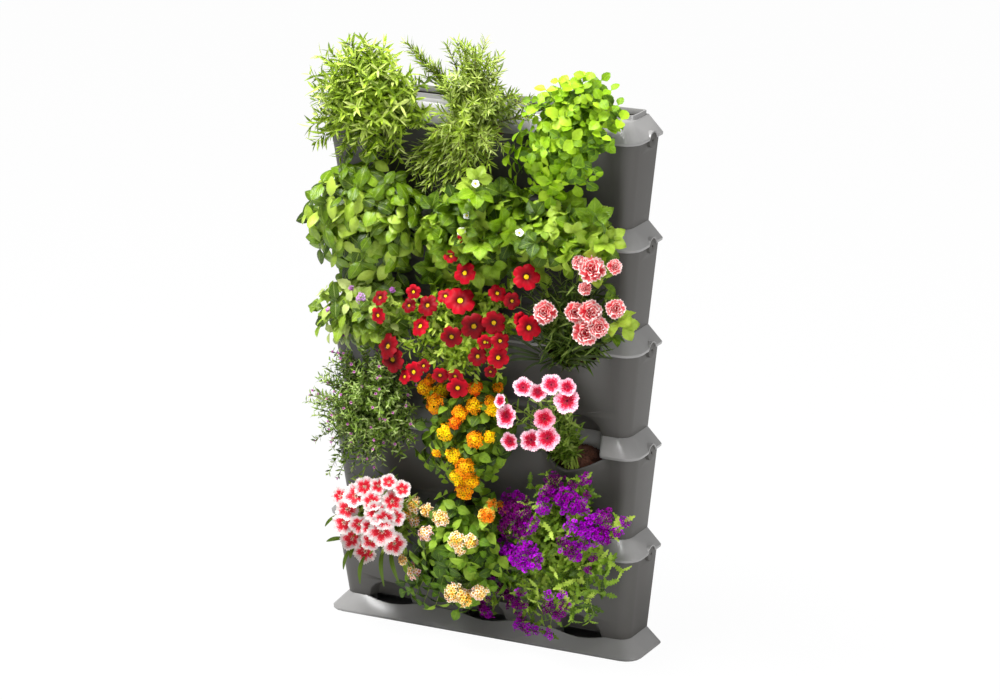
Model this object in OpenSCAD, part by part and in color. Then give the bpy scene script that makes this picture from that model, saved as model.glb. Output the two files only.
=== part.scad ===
// Vertical planter: five stacked planting tiers on a drip tray, with fifteen planted pockets.
// Millimetres. X runs along the width, Y towards the back, Z up.
// The origin is the middle of the drip tray's flat underside.

/* [Overall] */
// Width over the lips of the collars
planter_w = 640; // [630:5:680]
// Depth from the lip to the flat back, between the pockets
planter_d = 116; // [112:1:124]
// Height from one tier to the next
tier_pitch = 193.4; // [185:0.1:205]
// Height of the slope of a collar and of the drip tray
slope_h = 32; // [28:1:36]
// Wall of the moulded parts
wall = 3; // [2.5:0.1:3.5]
// Radius of the upright front corners at the lip
corner_r = 30; // [22:1:32]

/* [Slope] */
// How far the slope draws in at each side
slope_in_side = 26; // [22:1:28]
// How far the slope draws in at the front
slope_in_front = 23; // [20:1:25]
// Height of the upright edge along the lip
lip_edge_h = 5; // [4:0.5:6]

/* [Pockets] */
// Distance from the middle of an end pocket to the end of the lip
pocket_end = 124; // [122:1:130]
// Half the width of the wave that a pocket makes in the rim
pocket_half_w = 72; // [64:1:74]
// How far the rim dips at a pocket
pocket_dip = 26; // [20:1:30]
// How far the rim bulges forward at a pocket
pocket_bulge = 34; // [24:1:36]
// Height over which the bulge grows out of the front
pocket_grow_h = 88; // [75:1:92]

/* [Niches] */
// Half the width of a niche at the lip of a collar
niche_half_lip = 47; // [42:1:49]
// Half the width of a niche where a trough meets the slope below
niche_half_seam = 41; // [36:1:44]
// Height of the arch that a niche makes in a trough
niche_arch_h = 36; // [28:1:42]
// Depth of a niche, from the line of the lip to its back wall
niche_depth = 46; // [42:1:48]

/* [Neck] */
// Height of the neck that plugs into the trough above
neck_h = 8; // [5:0.5:9]
// Gap all round between the neck and the trough above
neck_gap = 0.6; // [0.4:0.1:1.2]
// Gap that a seated piece keeps over what carries it
seat_gap = 0.3; // [0.2:0.1:0.5]

/* [Rim] */
// How far the trough's rim stands inside the line of the lip
rim_in = 6.5; // [6:0.1:7.5]
// Thickness of the lip's skirt, which hangs outside the rim
skirt_t = 5.2; // [4.5:0.1:5.6]
// How far the trough's back stands inside the flat back of the collars
back_in = 4; // [3:0.5:6]
// Depth of the rolled bead along a pocket's rim
bead_h = 5; // [4:0.5:7]
// How far the bead stands out of a pocket's wall
bead_out = 1.6; // [1:0.1:2]

/* [Lugs] */
// Radius of the round lug on each side of a trough
lug_r = 14; // [12:0.5:15]
// Radius of the hole through a lug
lug_hole_r = 2.5; // [2:0.1:3.5]
// Distance of the lug behind the middle of the depth
lug_back = 16; // [10:1:20]
// Depth of the lug's middle under the lip
lug_drop = 5; // [3:0.5:7]
// Distance of the lug's face inside the line of the lip
lug_face_in = 2; // [1:0.5:3]
// Wall of the hood over a lug
hood_wall = 2.4; // [2:0.1:3]

/* [Drain plate] */
// Height of the drain plate over the foot of its trough
plate_up = 16; // [14:1:24]
// Thickness of the drain plate
plate_t = 3; // [2.5:0.5:4]
// Radius of a drain hole
drain_hole_r = 4; // [3:0.5:5]
// Distance between neighbouring drain holes
drain_hole_pitch = 80; // [60:5:90]
// Drain holes in a row
drain_holes = 7; // [3:1:7]

/* [Soil] */
// Gap between the soil and the walls
soil_gap = 1; // [0.6:0.1:2]
// Depth of the soil under the lip
soil_down = 31; // [31:1:36]

/* [Drip tray] */
// Thickness of the tray's floor
tray_floor_t = 3; // [2.5:0.1:4]
// How far the tray's front edge dips at a niche
tray_dip = 9; // [4:1:12]
// Width of the water gaps in the front of the tray's neck
water_gap_w = 90; // [60:5:110]

/* [Plants] */
// Radius of a plant's crown, where it leaves the soil
crown_r = 18; // [14:1:22]
// Gap between neighbouring clumps of foliage
leaf_gap = 4; // [2:1:8]

/* [Hidden] */

trough_colour = "dimgray";
slope_colour = "gray";
soil_colour = "saddlebrown";
leaf_colour = "olivedrab";

half_w = planter_w / 2;
front_y = -planter_d / 2;
back_y = planter_d / 2;
pocket_pitch = half_w - pocket_end;
trough_h = tier_pitch - slope_h;
rim_rise = 1;
rim_h = trough_h + rim_rise;
land_z = rim_rise + seat_gap;
lip_top_z = 2;
lip_low_z = lip_top_z - lip_edge_h;
grow_from_h = rim_h - pocket_dip - pocket_grow_h;
niche_y = front_y + niche_depth;
neck_in = wall + neck_gap;
neck_back_in = back_in + neck_in;
neck_side_in = slope_in_side + neck_in;
neck_front_in = niche_depth + neck_in;
lug_gap = 0.6;
hood_r = lug_r + lug_gap + hood_wall;
overlap = 1;

// A niche is drawn with eleven points across: from its middle out, each is a share of
// its half width and a share of its depth. A pocket's points are shares of the wave.
niche_x = [0, 0.62, 0.9, 1, 1.12, 1.24];
niche_in = [1, 1, 0.85, 0.45, 0.06, 0];
pocket_x = [0, 0.3, 0.55, 0.72, 0.87, 1];
side_points = len(niche_x) - 1;

// Height of the foot of tier k's trough, and of the lip of its collar
function tier_z(k) = slope_h + (k - 1) * tier_pitch;
function lip_z(k) = k * tier_pitch;

// Share of the dip and of the bulge at a share t of the wave's half width
function dip_share(t) = t >= 1 ? 0 : pow(cos(90 * t), 1.1);
function bulge_share(t) = t >= 1 ? 0 : pow(cos(90 * t), 2);

function arc_points(cx, cy, r, from) =
    [for (i = [0 : 4]) let (a = from + i * 22.5) [cx + r * cos(a), cy + r * sin(a), 0]];

// The points across one niche, cut back by depth
function niche_points(cx, y, half, depth) =
    [for (i = [-side_points : side_points])
        [cx + sign(i) * niche_x[abs(i)] * half, y + depth * niche_in[abs(i)], 0]];

// The points across one pocket, bulging forward and dipping
function pocket_points(cx, y, half, bulge, dip) =
    [for (i = [-side_points : side_points]) let (t = pocket_x[abs(i)])
        [cx + sign(i) * t * half, y - bulge * bulge_share(t), -dip * dip_share(t)]];

// An outline goes from the back left corner round the front to the back right corner.
// side, front and back are its insets from the rectangle of the lip, and middle holds
// the points across the niches or pockets.
function outline(side, front, back, z, middle) =
    let (w = half_w - side, y = front_y + front, b = back_y - back)
    let (r = corner_r - 0.3 * max(side, front))
    [for (p = concat(
        [[wall - w, b, 0], [-w, b - wall, 0]],
        arc_points(r - w, y + r, r, 180),
        middle,
        arc_points(w - r, y + r, r, 270),
        [[w, b - wall, 0], [w - wall, b, 0]]))
        [p[0], p[1], z + p[2]]];

function niche_row(y, half, depth) =
    [for (i = [-1 : 1]) each niche_points(i * pocket_pitch, y, half, depth)];
function pocket_row(y, half, bulge, dip) =
    [for (i = [-1 : 1]) each pocket_points(i * pocket_pitch, y, half, bulge, dip)];

// Skin of triangles between rings of points; a closed skin joins its last ring to its first
function skin_faces(rings, points, closed) =
    [for (i = [0 : rings - (closed ? 1 : 2)], j = [0 : points - 1])
        let (up = (i + 1) % rings, next = (j + 1) % points)
        each [[i * points + j, up * points + j, i * points + next],
              [i * points + next, up * points + j, up * points + next]]];

// An open frame: rings up the outside and down the inside
module band(rings) {
    points = len(rings[0]);
    polyhedron([for (ring = rings) each ring], skin_faces(len(rings), points, true));
}

// A closed solid between its first ring and its last
module loft(rings) {
    points = len(rings[0]);
    top = (len(rings) - 1) * points;
    polyhedron([for (ring = rings) each ring], concat(
        skin_faces(len(rings), points, false),
        [[for (j = [0 : points - 1]) j], [for (j = [points - 1 : -1 : 0]) top + j]]));
}

module outline_plate(ring, thickness) {
    linear_extrude(thickness) polygon([for (p = ring) [p[0], p[1]]]);
}

// Trough: insets of its tapered wall at height h over its foot
function side_in(h) = slope_in_side + (rim_in - slope_in_side) * h / trough_h;
function front_in(h) = slope_in_front + (rim_in - slope_in_front) * h / trough_h;

// Ring of a trough low down, where the niches cut an arch into its front. t is the
// distance into the wall: the inner skin's arch is wider and higher by as much.
function arch_ring(h, t = 0) =
    let (s = max(1 - pow(h / (niche_arch_h + t), 2), 0.004))
    outline(side_in(h) + t, front_in(h) + t, back_in + t, h,
            niche_row(front_y + front_in(h) + t, (niche_half_seam + t) * sqrt(s),
                      (niche_depth - slope_in_front) * (s > 0.01 ? sqrt(s) : 0)));

// Ring of a trough higher up, at a share u of the height in which the pockets grow
function grow_ring(u, t = 0, extra = 0, down = 0) =
    let (h = grow_from_h + u * (rim_h - grow_from_h) - down)
    outline(side_in(h) + t, front_in(h) + t, back_in + t, h,
            pocket_row(front_y + front_in(h) + t, pocket_half_w,
                       pocket_bulge * pow(u, 1.3) + extra, pocket_dip * u));

module trough_skin() {
    band([
        arch_ring(0), arch_ring(0.45 * niche_arch_h), arch_ring(0.75 * niche_arch_h),
        arch_ring(0.93 * niche_arch_h), arch_ring(niche_arch_h),
        grow_ring(0), grow_ring(0.4), grow_ring(0.75), grow_ring(1, down = bead_h),
        grow_ring(1, extra = bead_out, down = bead_h - 1), grow_ring(1, extra = bead_out),
        grow_ring(1, t = wall), grow_ring(0.6, t = wall), grow_ring(0, t = wall),
        arch_ring(0.75 * niche_arch_h, wall), arch_ring(0, wall)
    ]);
}

// Places its children at the lug on each side, turned so that Z points outwards
module at_lugs(z) {
    for (side = [-1, 1])
        translate([0, lug_back, z - lug_drop]) rotate([0, side * 90, 0]) children();
}

module trough(k) {
    color(trough_colour) translate([0, 0, tier_z(k) + seat_gap]) difference() {
        union() {
            trough_skin();
            at_lugs(trough_h)
                translate([0, 0, half_w - rim_in - wall])
                cylinder(h = rim_in + wall - lug_face_in, r = lug_r, $fn = 48);
        }
        at_lugs(trough_h)
            translate([0, 0, half_w - slope_in_side - wall])
            cylinder(h = slope_in_side + wall, r = lug_hole_r, $fn = 24);
    }
}

// Collar: a ring of its outside or inside, at a height z over the lip. t is the distance
// into the wall of its niches.
function collar_ring(side, front, z, t = 0, back = 0) =
    let (half = niche_half_lip + (niche_half_seam - niche_half_lip) * max(z, 0) / slope_h)
    outline(side, front, back, z,
            niche_row(front_y + front, half + t, niche_depth - front + t));

function neck_ring(t, z) =
    outline(neck_side_in + t, neck_front_in + t, neck_back_in + t, z,
            niche_row(front_y + neck_front_in + t, niche_half_seam, 0));

module collar_skin() {
    land_in = rim_in + wall + 1;
    land_back = back_in + wall + 1;
    skirt_back = back_in - neck_gap;
    band([
        collar_ring(1, 1, lip_low_z), collar_ring(0, 0, lip_top_z),
        collar_ring(slope_in_side, slope_in_front, slope_h, back = back_in),
        neck_ring(0, slope_h), neck_ring(0, slope_h + neck_h),
        neck_ring(wall, slope_h + neck_h), neck_ring(wall, slope_h - wall),
        collar_ring(slope_in_side + wall / 2, slope_in_front + wall / 2, slope_h - wall, wall,
                    back_in + wall / 2),
        collar_ring(land_in, land_in, land_z, wall + 1, land_back),
        collar_ring(skirt_t, skirt_t, land_z, wall, skirt_back),
        collar_ring(skirt_t, skirt_t, lip_low_z, wall, skirt_back)
    ]);
}

module collar(k) {
    color(slope_colour) translate([0, 0, lip_z(k)]) difference() {
        union() {
            collar_skin();
            intersection() {
                at_lugs(0)
                    translate([0, 0, half_w - slope_in_side])
                    cylinder(h = slope_in_side, r = hood_r, $fn = 48);
                translate([-half_w, 0, land_z])
                    cube([planter_w, back_y, slope_h]);
            }
        }
        at_lugs(0)
            translate([0, 0, half_w - rim_in - wall - 2 * lug_gap])
            cylinder(h = rim_in + wall + 2 * lug_gap + overlap, r = lug_r + lug_gap, $fn = 48);
    }
}

module drain_plate(k) {
    row_y = (niche_y + back_y) / 2;
    color(slope_colour) translate([0, 0, tier_z(k) + seat_gap + plate_up]) difference() {
        outline_plate(arch_ring(plate_up, wall + seat_gap), plate_t);
        for (i = [0 : drain_holes - 1])
            translate([(i - (drain_holes - 1) / 2) * drain_hole_pitch, row_y, -overlap])
                cylinder(h = plate_t + 2 * overlap, r = drain_hole_r, $fn = 24);
    }
}

// Soil: slices that widen with the trough, from the drain plate up
module soil(k) {
    low = plate_up + plate_t;
    top = trough_h - soil_down;
    cuts = [low, grow_from_h, (grow_from_h + top) / 2, (grow_from_h + 3 * top) / 4, top];
    t = wall + soil_gap;
    color(soil_colour) translate([0, 0, tier_z(k) + seat_gap]) {
        translate([0, 0, low]) outline_plate(arch_ring(low, t + soil_gap), cuts[1] - low);
        for (i = [1 : len(cuts) - 2])
            translate([0, 0, cuts[i]])
                outline_plate(grow_ring(soil_share(cuts[i]), t), cuts[i + 1] - cuts[i]);
    }
}

function soil_share(h) = (h - grow_from_h) / (rim_h - grow_from_h);

// Drip tray
function tray_ring(side, front, z, back = 0, dip = 0) =
    outline(side, front, back, z,
            pocket_row(front_y + front, 1.3 * niche_half_seam, 0, dip));

module drip_tray() {
    frame_low = tray_floor_t - overlap;
    frame_h = slope_h + neck_h - frame_low;
    color(slope_colour) union() {
        loft([
            tray_ring(1.5, 1.5, 0), tray_ring(0, 0, lip_top_z), tray_ring(0, 0, lip_edge_h),
            tray_ring(slope_in_side, slope_in_front, slope_h, back_in, tray_dip),
            tray_ring(slope_in_side + wall, slope_in_front + wall, slope_h, back_in + wall, tray_dip),
            tray_ring(2 * wall, 2 * wall, tray_floor_t, wall)
        ]);
        difference() {
            translate([0, 0, frame_low]) outline_plate(neck_ring(0, 0), frame_h);
            translate([0, 0, frame_low - overlap])
                outline_plate(neck_ring(wall, 0), frame_h + 2 * overlap);
            for (i = [-1 : 1])
                translate([i * pocket_pitch - water_gap_w / 2, front_y + neck_front_in - overlap,
                           frame_low - overlap])
                    cube([water_gap_w, wall + 2 * overlap, slope_h - wall]);
        }
    }
}

// Plants: each is a crown in its pocket's soil and a dome of foliage in front. The dome's
// back leans in over the rim from rim_low to rim_high, and out again under the bulge of the
// tier above. Heights are measured from the tier's lip.
rim_low = -0.7 * pocket_dip;
rim_high = 0.5 * pocket_dip;
bulge_low = slope_h + grow_from_h;

function lerp(a, b, s) = a + (b - a) * min(max(s, 0), 1);
function clear_of_trough(z) =
    z < rim_high
        ? lerp(pocket_bulge + bead_out - rim_in + leaf_gap, leaf_gap,
               (z - rim_low) / (rim_high - rim_low))
        : lerp(leaf_gap, pocket_bulge, (z - bulge_low) / pocket_grow_h);

// rise runs from -1 at the dome's foot to 1 at its top
function dome_ring(left, right, z, rise, reach, lean) =
    let (cx = (left + right) / 2 + lean * rise, share = sqrt(1 - 0.85 * rise ^ 2))
    let (rx = ((right - left) / 2 - abs(lean)) * share, ry = reach / 2 * share)
    [for (a = [0 : 36 : 324])
        [cx + rx * cos(a), front_y - clear_of_trough(z) - ry + ry * sin(a), z]];

// sides are shares of the pockets' pitch from the middle of the tier, ends are shares of
// the tiers' pitch from its lip, and reach is a share of the planter's depth. lean, a share
// of the pockets' pitch, moves the dome's top to the right and its foot to the left.
module plant(k, pocket, sides, ends, reach, lean = 0) {
    left = sides[0] * pocket_pitch;
    right = sides[1] * pocket_pitch;
    low = ends[0] * tier_pitch;
    high = ends[1] * tier_pitch;
    hangs = low < rim_low;
    upper = [rim_high, lerp(rim_high, high, 0.6), high];
    levels = hangs ? concat([low, (low + rim_low) / 2, rim_low], upper) : concat([low], upper);
    color(leaf_colour) translate([0, 0, lip_z(k)]) union() {
        loft([for (z = levels)
            dome_ring(left + leaf_gap / 2, right - leaf_gap / 2, z,
                      (2 * z - low - high) / (high - low), reach * planter_d,
                      lean * pocket_pitch)]);
        translate([pocket * pocket_pitch, front_y, 2 * seat_gap - soil_down])
            cylinder(h = soil_down + slope_h - wall, r = crown_r, $fn = 24);
    }
}

drip_tray();

trough(1);  // trough_1
trough(2);  // trough_2
trough(3);  // trough_3
trough(4);  // trough_4
trough(5);  // trough_5

collar(1);  // collar_1
collar(2);  // collar_2
collar(3);  // collar_3
collar(4);  // collar_4
collar(5);  // collar_5

drain_plate(1);  // drain_plate_1
drain_plate(2);  // drain_plate_2
drain_plate(3);  // drain_plate_3
drain_plate(4);  // drain_plate_4
drain_plate(5);  // drain_plate_5

soil(1);  // soil_1
soil(2);  // soil_2
soil(3);  // soil_3
soil(4);  // soil_4
soil(5);  // soil_5

plant(1, -1, [-1.34, -0.48], [-0.21, 0.58], 0.76);  // white_dianthus
plant(1, 0, [-0.48, 0.48], [-0.61, 0.48], 0.62);  // pink_lantana
plant(1, 1, [0.48, 1.59], [-0.64, 0.88], 0.72, 0.08);  // purple_verbena

plant(2, -1, [-1.61, -0.41], [-0.37, 0.88], 0.6);  // cuphea
plant(2, 0, [-0.41, 0.53], [-0.49, 0.58], 0.62);  // orange_lantana
plant(2, 1, [0.53, 1.45], [-0.08, 0.83], 0.66);  // pink_dianthus

plant(3, -1, [-1.49, -0.5], [-0.08, 0.48], 0.67);  // purple_herb
plant(3, 0, [-0.5, 0.54], [-0.39, 0.61], 0.72, 0.08);  // red_calibrachoa
plant(3, 1, [0.54, 1.59], [-0.08, 0.83], 0.58, 0.1);  // double_dianthus

plant(4, -1, [-1.62, -0.36], [-0.5, 0.67], 0.7);  // basil
plant(4, 0, [-0.36, 0.56], [-0.36, 0.5], 0.74);  // strawberry
plant(4, 1, [0.56, 1.56], [-0.13, 0.41], 0.8);  // leafy_mint

plant(5, -1, [-1.57, -0.34], [-0.26, 0.78], 0.7);  // bright_herb
plant(5, 0, [-0.34, 0.59], [-0.49, 0.85], 0.6, 0.1);  // rosemary
plant(5, 1, [0.59, 1.59], [-0.55, 0.65], 0.7, 0.14);  // oregano
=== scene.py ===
# %% [markdown]
# A vertical planter is a stack of plastic troughs with a plant in every pocket. The packed
# model holds the plastic shells at their real size, so this script only dresses them: it
# gives each shell its finish, fills the pockets with soil, and grows fifteen plants where
# the plain clumps of foliage stand. Every length below is in metres unless its name ends
# in _mm.

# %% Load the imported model
import math
import random

import bmesh
import bpy
import numpy as np
from mathutils import Matrix, Vector


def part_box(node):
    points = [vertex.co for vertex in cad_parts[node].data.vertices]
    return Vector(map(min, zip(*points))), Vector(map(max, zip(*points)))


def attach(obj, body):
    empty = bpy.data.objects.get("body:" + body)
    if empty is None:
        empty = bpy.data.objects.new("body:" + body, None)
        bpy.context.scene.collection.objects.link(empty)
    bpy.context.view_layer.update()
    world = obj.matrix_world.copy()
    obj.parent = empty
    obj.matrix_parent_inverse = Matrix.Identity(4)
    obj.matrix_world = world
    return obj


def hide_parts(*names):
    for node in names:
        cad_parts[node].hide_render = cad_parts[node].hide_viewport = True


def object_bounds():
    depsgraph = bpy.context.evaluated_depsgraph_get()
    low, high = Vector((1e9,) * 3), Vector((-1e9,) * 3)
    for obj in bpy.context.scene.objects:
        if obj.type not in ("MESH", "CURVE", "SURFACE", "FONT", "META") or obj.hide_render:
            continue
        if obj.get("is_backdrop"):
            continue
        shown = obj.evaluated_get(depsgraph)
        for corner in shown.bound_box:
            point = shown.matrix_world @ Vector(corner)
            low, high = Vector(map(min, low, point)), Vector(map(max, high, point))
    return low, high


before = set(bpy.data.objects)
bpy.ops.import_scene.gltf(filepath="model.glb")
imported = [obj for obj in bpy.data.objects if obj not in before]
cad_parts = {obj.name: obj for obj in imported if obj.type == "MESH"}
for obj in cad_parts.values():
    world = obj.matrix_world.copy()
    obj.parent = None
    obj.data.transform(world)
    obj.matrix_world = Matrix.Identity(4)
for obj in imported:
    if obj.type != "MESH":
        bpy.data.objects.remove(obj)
cad_low, cad_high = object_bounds()
print("packed model:", len(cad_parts), "nodes, box", [round(v, 3) for v in cad_high - cad_low])

# %% [markdown]
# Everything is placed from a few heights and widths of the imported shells: the front line of
# the lips, the height of each tier's lip, and the pitch of the pockets. A plant is then
# drawn from its pocket's middle, so it moves with its tier.

# %% Measure the tiers
MM = 0.001
SKIRT_DROP = 3 * MM
POCKET_PITCH = 196 * MM
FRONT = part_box("collar_1")[0].y
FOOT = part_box("drip_tray")[0].z
TIERS = (1, 2, 3, 4, 5)
LEFT, MIDDLE, RIGHT = -1, 0, 1


def lip_height(tier):
    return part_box(f"collar_{tier}")[0].z + SKIRT_DROP


def pocket_middle(tier, place):
    """The middle of a pocket at the front line of its lip; place is LEFT, MIDDLE or RIGHT."""
    return Vector((place * POCKET_PITCH, FRONT, lip_height(tier)))


print("lips at", [round(lip_height(tier), 4) for tier in TIERS], "front at", round(FRONT, 4))

# %% [markdown]
# The camera stands to the right of the planter and looks down on it a little, with a long
# lens, as the photograph was taken. Its place was found from the corners of the lips. The
# picture is 1000 pixels wide, so a shift of one pixel is a thousandth of the sensor.

# %% Set up the camera
PICTURE_WIDTH_PX = 1000
FOCAL_PX = 3859.83
SENSOR_WIDTH_MM = 36
CAMERA_PLACE = Vector((3.1051, -5.9716, 2.6009))
CAMERA_YAW, CAMERA_PITCH, CAMERA_ROLL = (math.radians(a) for a in (-27.33, -16.77, -0.43))
SHIFT_PX = (0.775, -18.394)

forward = Vector((
    math.sin(CAMERA_YAW) * math.cos(CAMERA_PITCH),
    math.cos(CAMERA_YAW) * math.cos(CAMERA_PITCH),
    math.sin(CAMERA_PITCH),
))
level_right = forward.cross(Vector((0, 0, 1))).normalized()
level_up = level_right.cross(forward)
right = level_right * math.cos(CAMERA_ROLL) + level_up * math.sin(CAMERA_ROLL)
up = level_up * math.cos(CAMERA_ROLL) - level_right * math.sin(CAMERA_ROLL)

camera_data = bpy.data.cameras.new("camera")
camera_data.sensor_width = SENSOR_WIDTH_MM
camera_data.lens = FOCAL_PX / PICTURE_WIDTH_PX * SENSOR_WIDTH_MM
camera_data.shift_x, camera_data.shift_y = (px / PICTURE_WIDTH_PX for px in SHIFT_PX)
camera_data.clip_end = 100
camera = bpy.data.objects.new("camera", camera_data)
bpy.context.scene.collection.objects.link(camera)
turned_to_view = Matrix((right, up, -forward)).transposed().to_4x4()
camera.matrix_world = Matrix.Translation(CAMERA_PLACE) @ turned_to_view
bpy.context.scene.camera = camera
print("camera lens", round(camera_data.lens, 1), "mm")

# %% [markdown]
# Colours are written as sRGB hex values, the way a paint card or a picture editor shows
# them. Blender computes with linear light, so one function turns them over. A second small
# function adds a node of any kind with its settings and links, and with its colours where it
# is a colour ramp, which keeps the trees short to read.

# %% Colour and node helpers
def colour(hex_code):
    """An sRGB hex value as linear RGBA."""
    shares = [int(hex_code[i : i + 2], 16) / 255 for i in (1, 3, 5)]
    return [s / 12.92 if s <= 0.04045 else ((s + 0.055) / 1.055) ** 2.4 for s in shares] + [1]


def add(tree, kind, links=None, stops=(), **settings):
    """Adds a node. links gives each input a value, a socket, or a node for its first output.

    stops are a colour ramp's (place, hex colour) pairs."""
    made = tree.nodes.new(kind)
    for name, value in settings.items():
        setattr(made, name, value)
    for socket, source in (links or {}).items():
        if isinstance(source, bpy.types.Node):
            source = source.outputs[0]
        if isinstance(source, bpy.types.NodeSocket):
            tree.links.new(source, made.inputs[socket])
        else:
            made.inputs[socket].default_value = source
    if stops:
        elements = made.color_ramp.elements
        while len(elements) < len(stops):
            elements.new(1)
        for element, (place, code) in zip(elements, stops):
            element.position = place
            element.color = colour(code)
    return made


def new_finish(name, roughness, **constants):
    """A material with its Principled shader; returns the material, its tree and the shader."""
    made = bpy.data.materials.new(name)
    made.use_nodes = True
    tree = made.node_tree
    shader = tree.nodes["Principled BSDF"]
    shader.inputs["Roughness"].default_value = roughness
    for socket, value in constants.items():
        shader.inputs[socket.replace("_", " ")].default_value = value
    return made, tree, shader


print("helpers ready; mid grey is", [round(c, 3) for c in colour("#808080")[:3]])

# %% [markdown]
# The stage is a plain studio: a white floor, a big softbox high on the left, a smaller one
# on the right that puts the bright edge on the rounded corners, and an even white sky. The
# floor stays white to the camera but still takes a soft shadow, because its shader shows
# the camera a mix of white light and of the lit floor.

# %% Build the stage and the lights
FLOOR_SIZE = 30.0
FLOOR_GREY = "#d8d8d8"
FLOOR_WHITE_SHARE = 0.97
SKY_STRENGTH = 0.42
STAND_MIDDLE = (0, 0, 0.55)
WHITE = "#ffffff"


def softbox(name, place, width, height, watts):
    """A rectangular lamp that looks at the middle of the planter."""
    light = bpy.data.lights.new(name, "AREA")
    light.shape = "RECTANGLE"
    light.size, light.size_y, light.energy = width, height, watts
    lamp = bpy.data.objects.new(name, light)
    bpy.context.scene.collection.objects.link(lamp)
    lamp.location = place
    lamp.rotation_euler = (Vector(STAND_MIDDLE) - Vector(place)).to_track_quat("-Z", "Y").to_euler()


floor_mesh = bpy.data.meshes.new("floor")
half_floor = FLOOR_SIZE / 2
floor_corners = [(-half_floor, -half_floor, FOOT), (half_floor, -half_floor, FOOT),
                 (half_floor, half_floor, FOOT), (-half_floor, half_floor, FOOT)]
floor_mesh.from_pydata(floor_corners, [], [(0, 1, 2, 3)])
floor = bpy.data.objects.new("floor", floor_mesh)
bpy.context.scene.collection.objects.link(floor)
floor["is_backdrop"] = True

floor_paint, tree, shader = new_finish("floor_paint", 0.9)
shader.inputs["Base Color"].default_value = colour(FLOOR_GREY)
white_light = add(tree, "ShaderNodeEmission", {"Color": colour(WHITE), "Strength": 1.0})
seen = add(tree, "ShaderNodeLightPath").outputs["Is Camera Ray"]
share = add(tree, "ShaderNodeMath", {0: seen, 1: FLOOR_WHITE_SHARE}, operation="MULTIPLY")
mixed = add(tree, "ShaderNodeMixShader", {0: share, 1: shader, 2: white_light})
tree.links.new(mixed.outputs[0], tree.nodes["Material Output"].inputs["Surface"])
floor_mesh.materials.append(floor_paint)

world = bpy.data.worlds.new("studio")
world.use_nodes = True
tree = world.node_tree
seen = add(tree, "ShaderNodeLightPath").outputs["Is Camera Ray"]
strength = add(tree, "ShaderNodeMapRange", {"Value": seen, "To Min": SKY_STRENGTH, "To Max": 1.0})
tree.nodes["Background"].inputs["Color"].default_value = colour(WHITE)
tree.links.new(strength.outputs[0], tree.nodes["Background"].inputs["Strength"])
bpy.context.scene.world = world
bpy.context.scene.view_settings.view_transform = "Standard"

softbox("high_softbox", (-0.9, -1.2, 4.2), width=2.4, height=1.2, watts=350)
softbox("right_softbox", (3.2, -1.0, 1.9), width=0.6, height=1.8, watts=55)
print("stage: floor at", round(FOOT, 4), "and 2 softboxes")

# %% [markdown]
# The shells are injection-moulded polypropylene in anthracite. The collars and the drip tray
# get a lighter grey than the troughs. That grey is mostly painted light, standing for the light
# that their upward-facing slopes catch. The mould is spark-eroded, so the surface is satin rather than
# glossy: roughness near 0.45, the plastic's IOR of 1.49, and a grain about half a millimetre
# across. The grain of a real mould is finer, and is drawn a little coarser here so that it
# shows. Handling and dust leave broad, faint patches, which a large noise adds. A packed shell
# is made of loose flat triangles, so a copy of it is merged and smoothed, and a narrow bevel
# rounds its moulded edges, which then catch the light.

# %% Make the plastic finishes
GRAIN_MM = 0.6
GRAIN_DEPTH_MM = 0.05
GRAIN_STRENGTH = 0.35
CLEANEST, DUSTIEST = -0.03, 0.05
PATCH_MM = 90
PLASTIC_IOR = 1.49


def moulded_polypropylene(name, code, roughness):
    finish, tree, shader = new_finish(name, roughness, IOR=PLASTIC_IOR)
    place = add(tree, "ShaderNodeTexCoord").outputs["Object"]
    grain = add(tree, "ShaderNodeTexNoise", {
        "Vector": place, "Scale": 1 / (GRAIN_MM * MM), "Detail": 2.0}).outputs["Fac"]
    dust = add(tree, "ShaderNodeTexNoise", {
        "Vector": place, "Scale": 1 / (PATCH_MM * MM), "Detail": 4.0}).outputs["Fac"]
    tint = add(tree, "ShaderNodeValToRGB", {"Fac": dust}, stops=((0.3, "#f2f2f2"), (0.7, WHITE)))
    mixed = add(tree, "ShaderNodeMix", {0: 1.0, 6: colour(code), 7: tint},
                data_type="RGBA", blend_type="MULTIPLY")
    worn = add(tree, "ShaderNodeMapRange", {
        "Value": dust, "To Min": roughness + CLEANEST, "To Max": roughness + DUSTIEST})
    relief = add(tree, "ShaderNodeBump", {
        "Height": grain, "Distance": GRAIN_DEPTH_MM * MM, "Strength": GRAIN_STRENGTH})
    tree.links.new(mixed.outputs[2], shader.inputs["Base Color"])
    tree.links.new(worn.outputs[0], shader.inputs["Roughness"])
    tree.links.new(relief.outputs["Normal"], shader.inputs["Normal"])
    return finish


trough_plastic = moulded_polypropylene("trough_polypropylene", "#474542", 0.48)
# The collars' lighter grey is painted light: it stands for the light on their upward-facing slopes.
painted_lit_plastic = moulded_polypropylene("polypropylene_painted_lit", "#898887", 0.29)
print("finishes:", trough_plastic.name, "and", painted_lit_plastic.name)

# %% Dress the plastic shells
EDGE_MM = 0.5
SHARP_ANGLE = math.radians(35)
MERGE_MM = 0.01


def plain_copy(node):
    """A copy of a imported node's mesh with its loose triangles merged."""
    shape = bmesh.new()
    shape.from_mesh(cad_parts[node].data)
    bmesh.ops.remove_doubles(shape, verts=shape.verts, dist=MERGE_MM * MM)
    mesh = bpy.data.meshes.new(node + "_copy")
    shape.to_mesh(mesh)
    shape.free()
    return mesh


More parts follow.
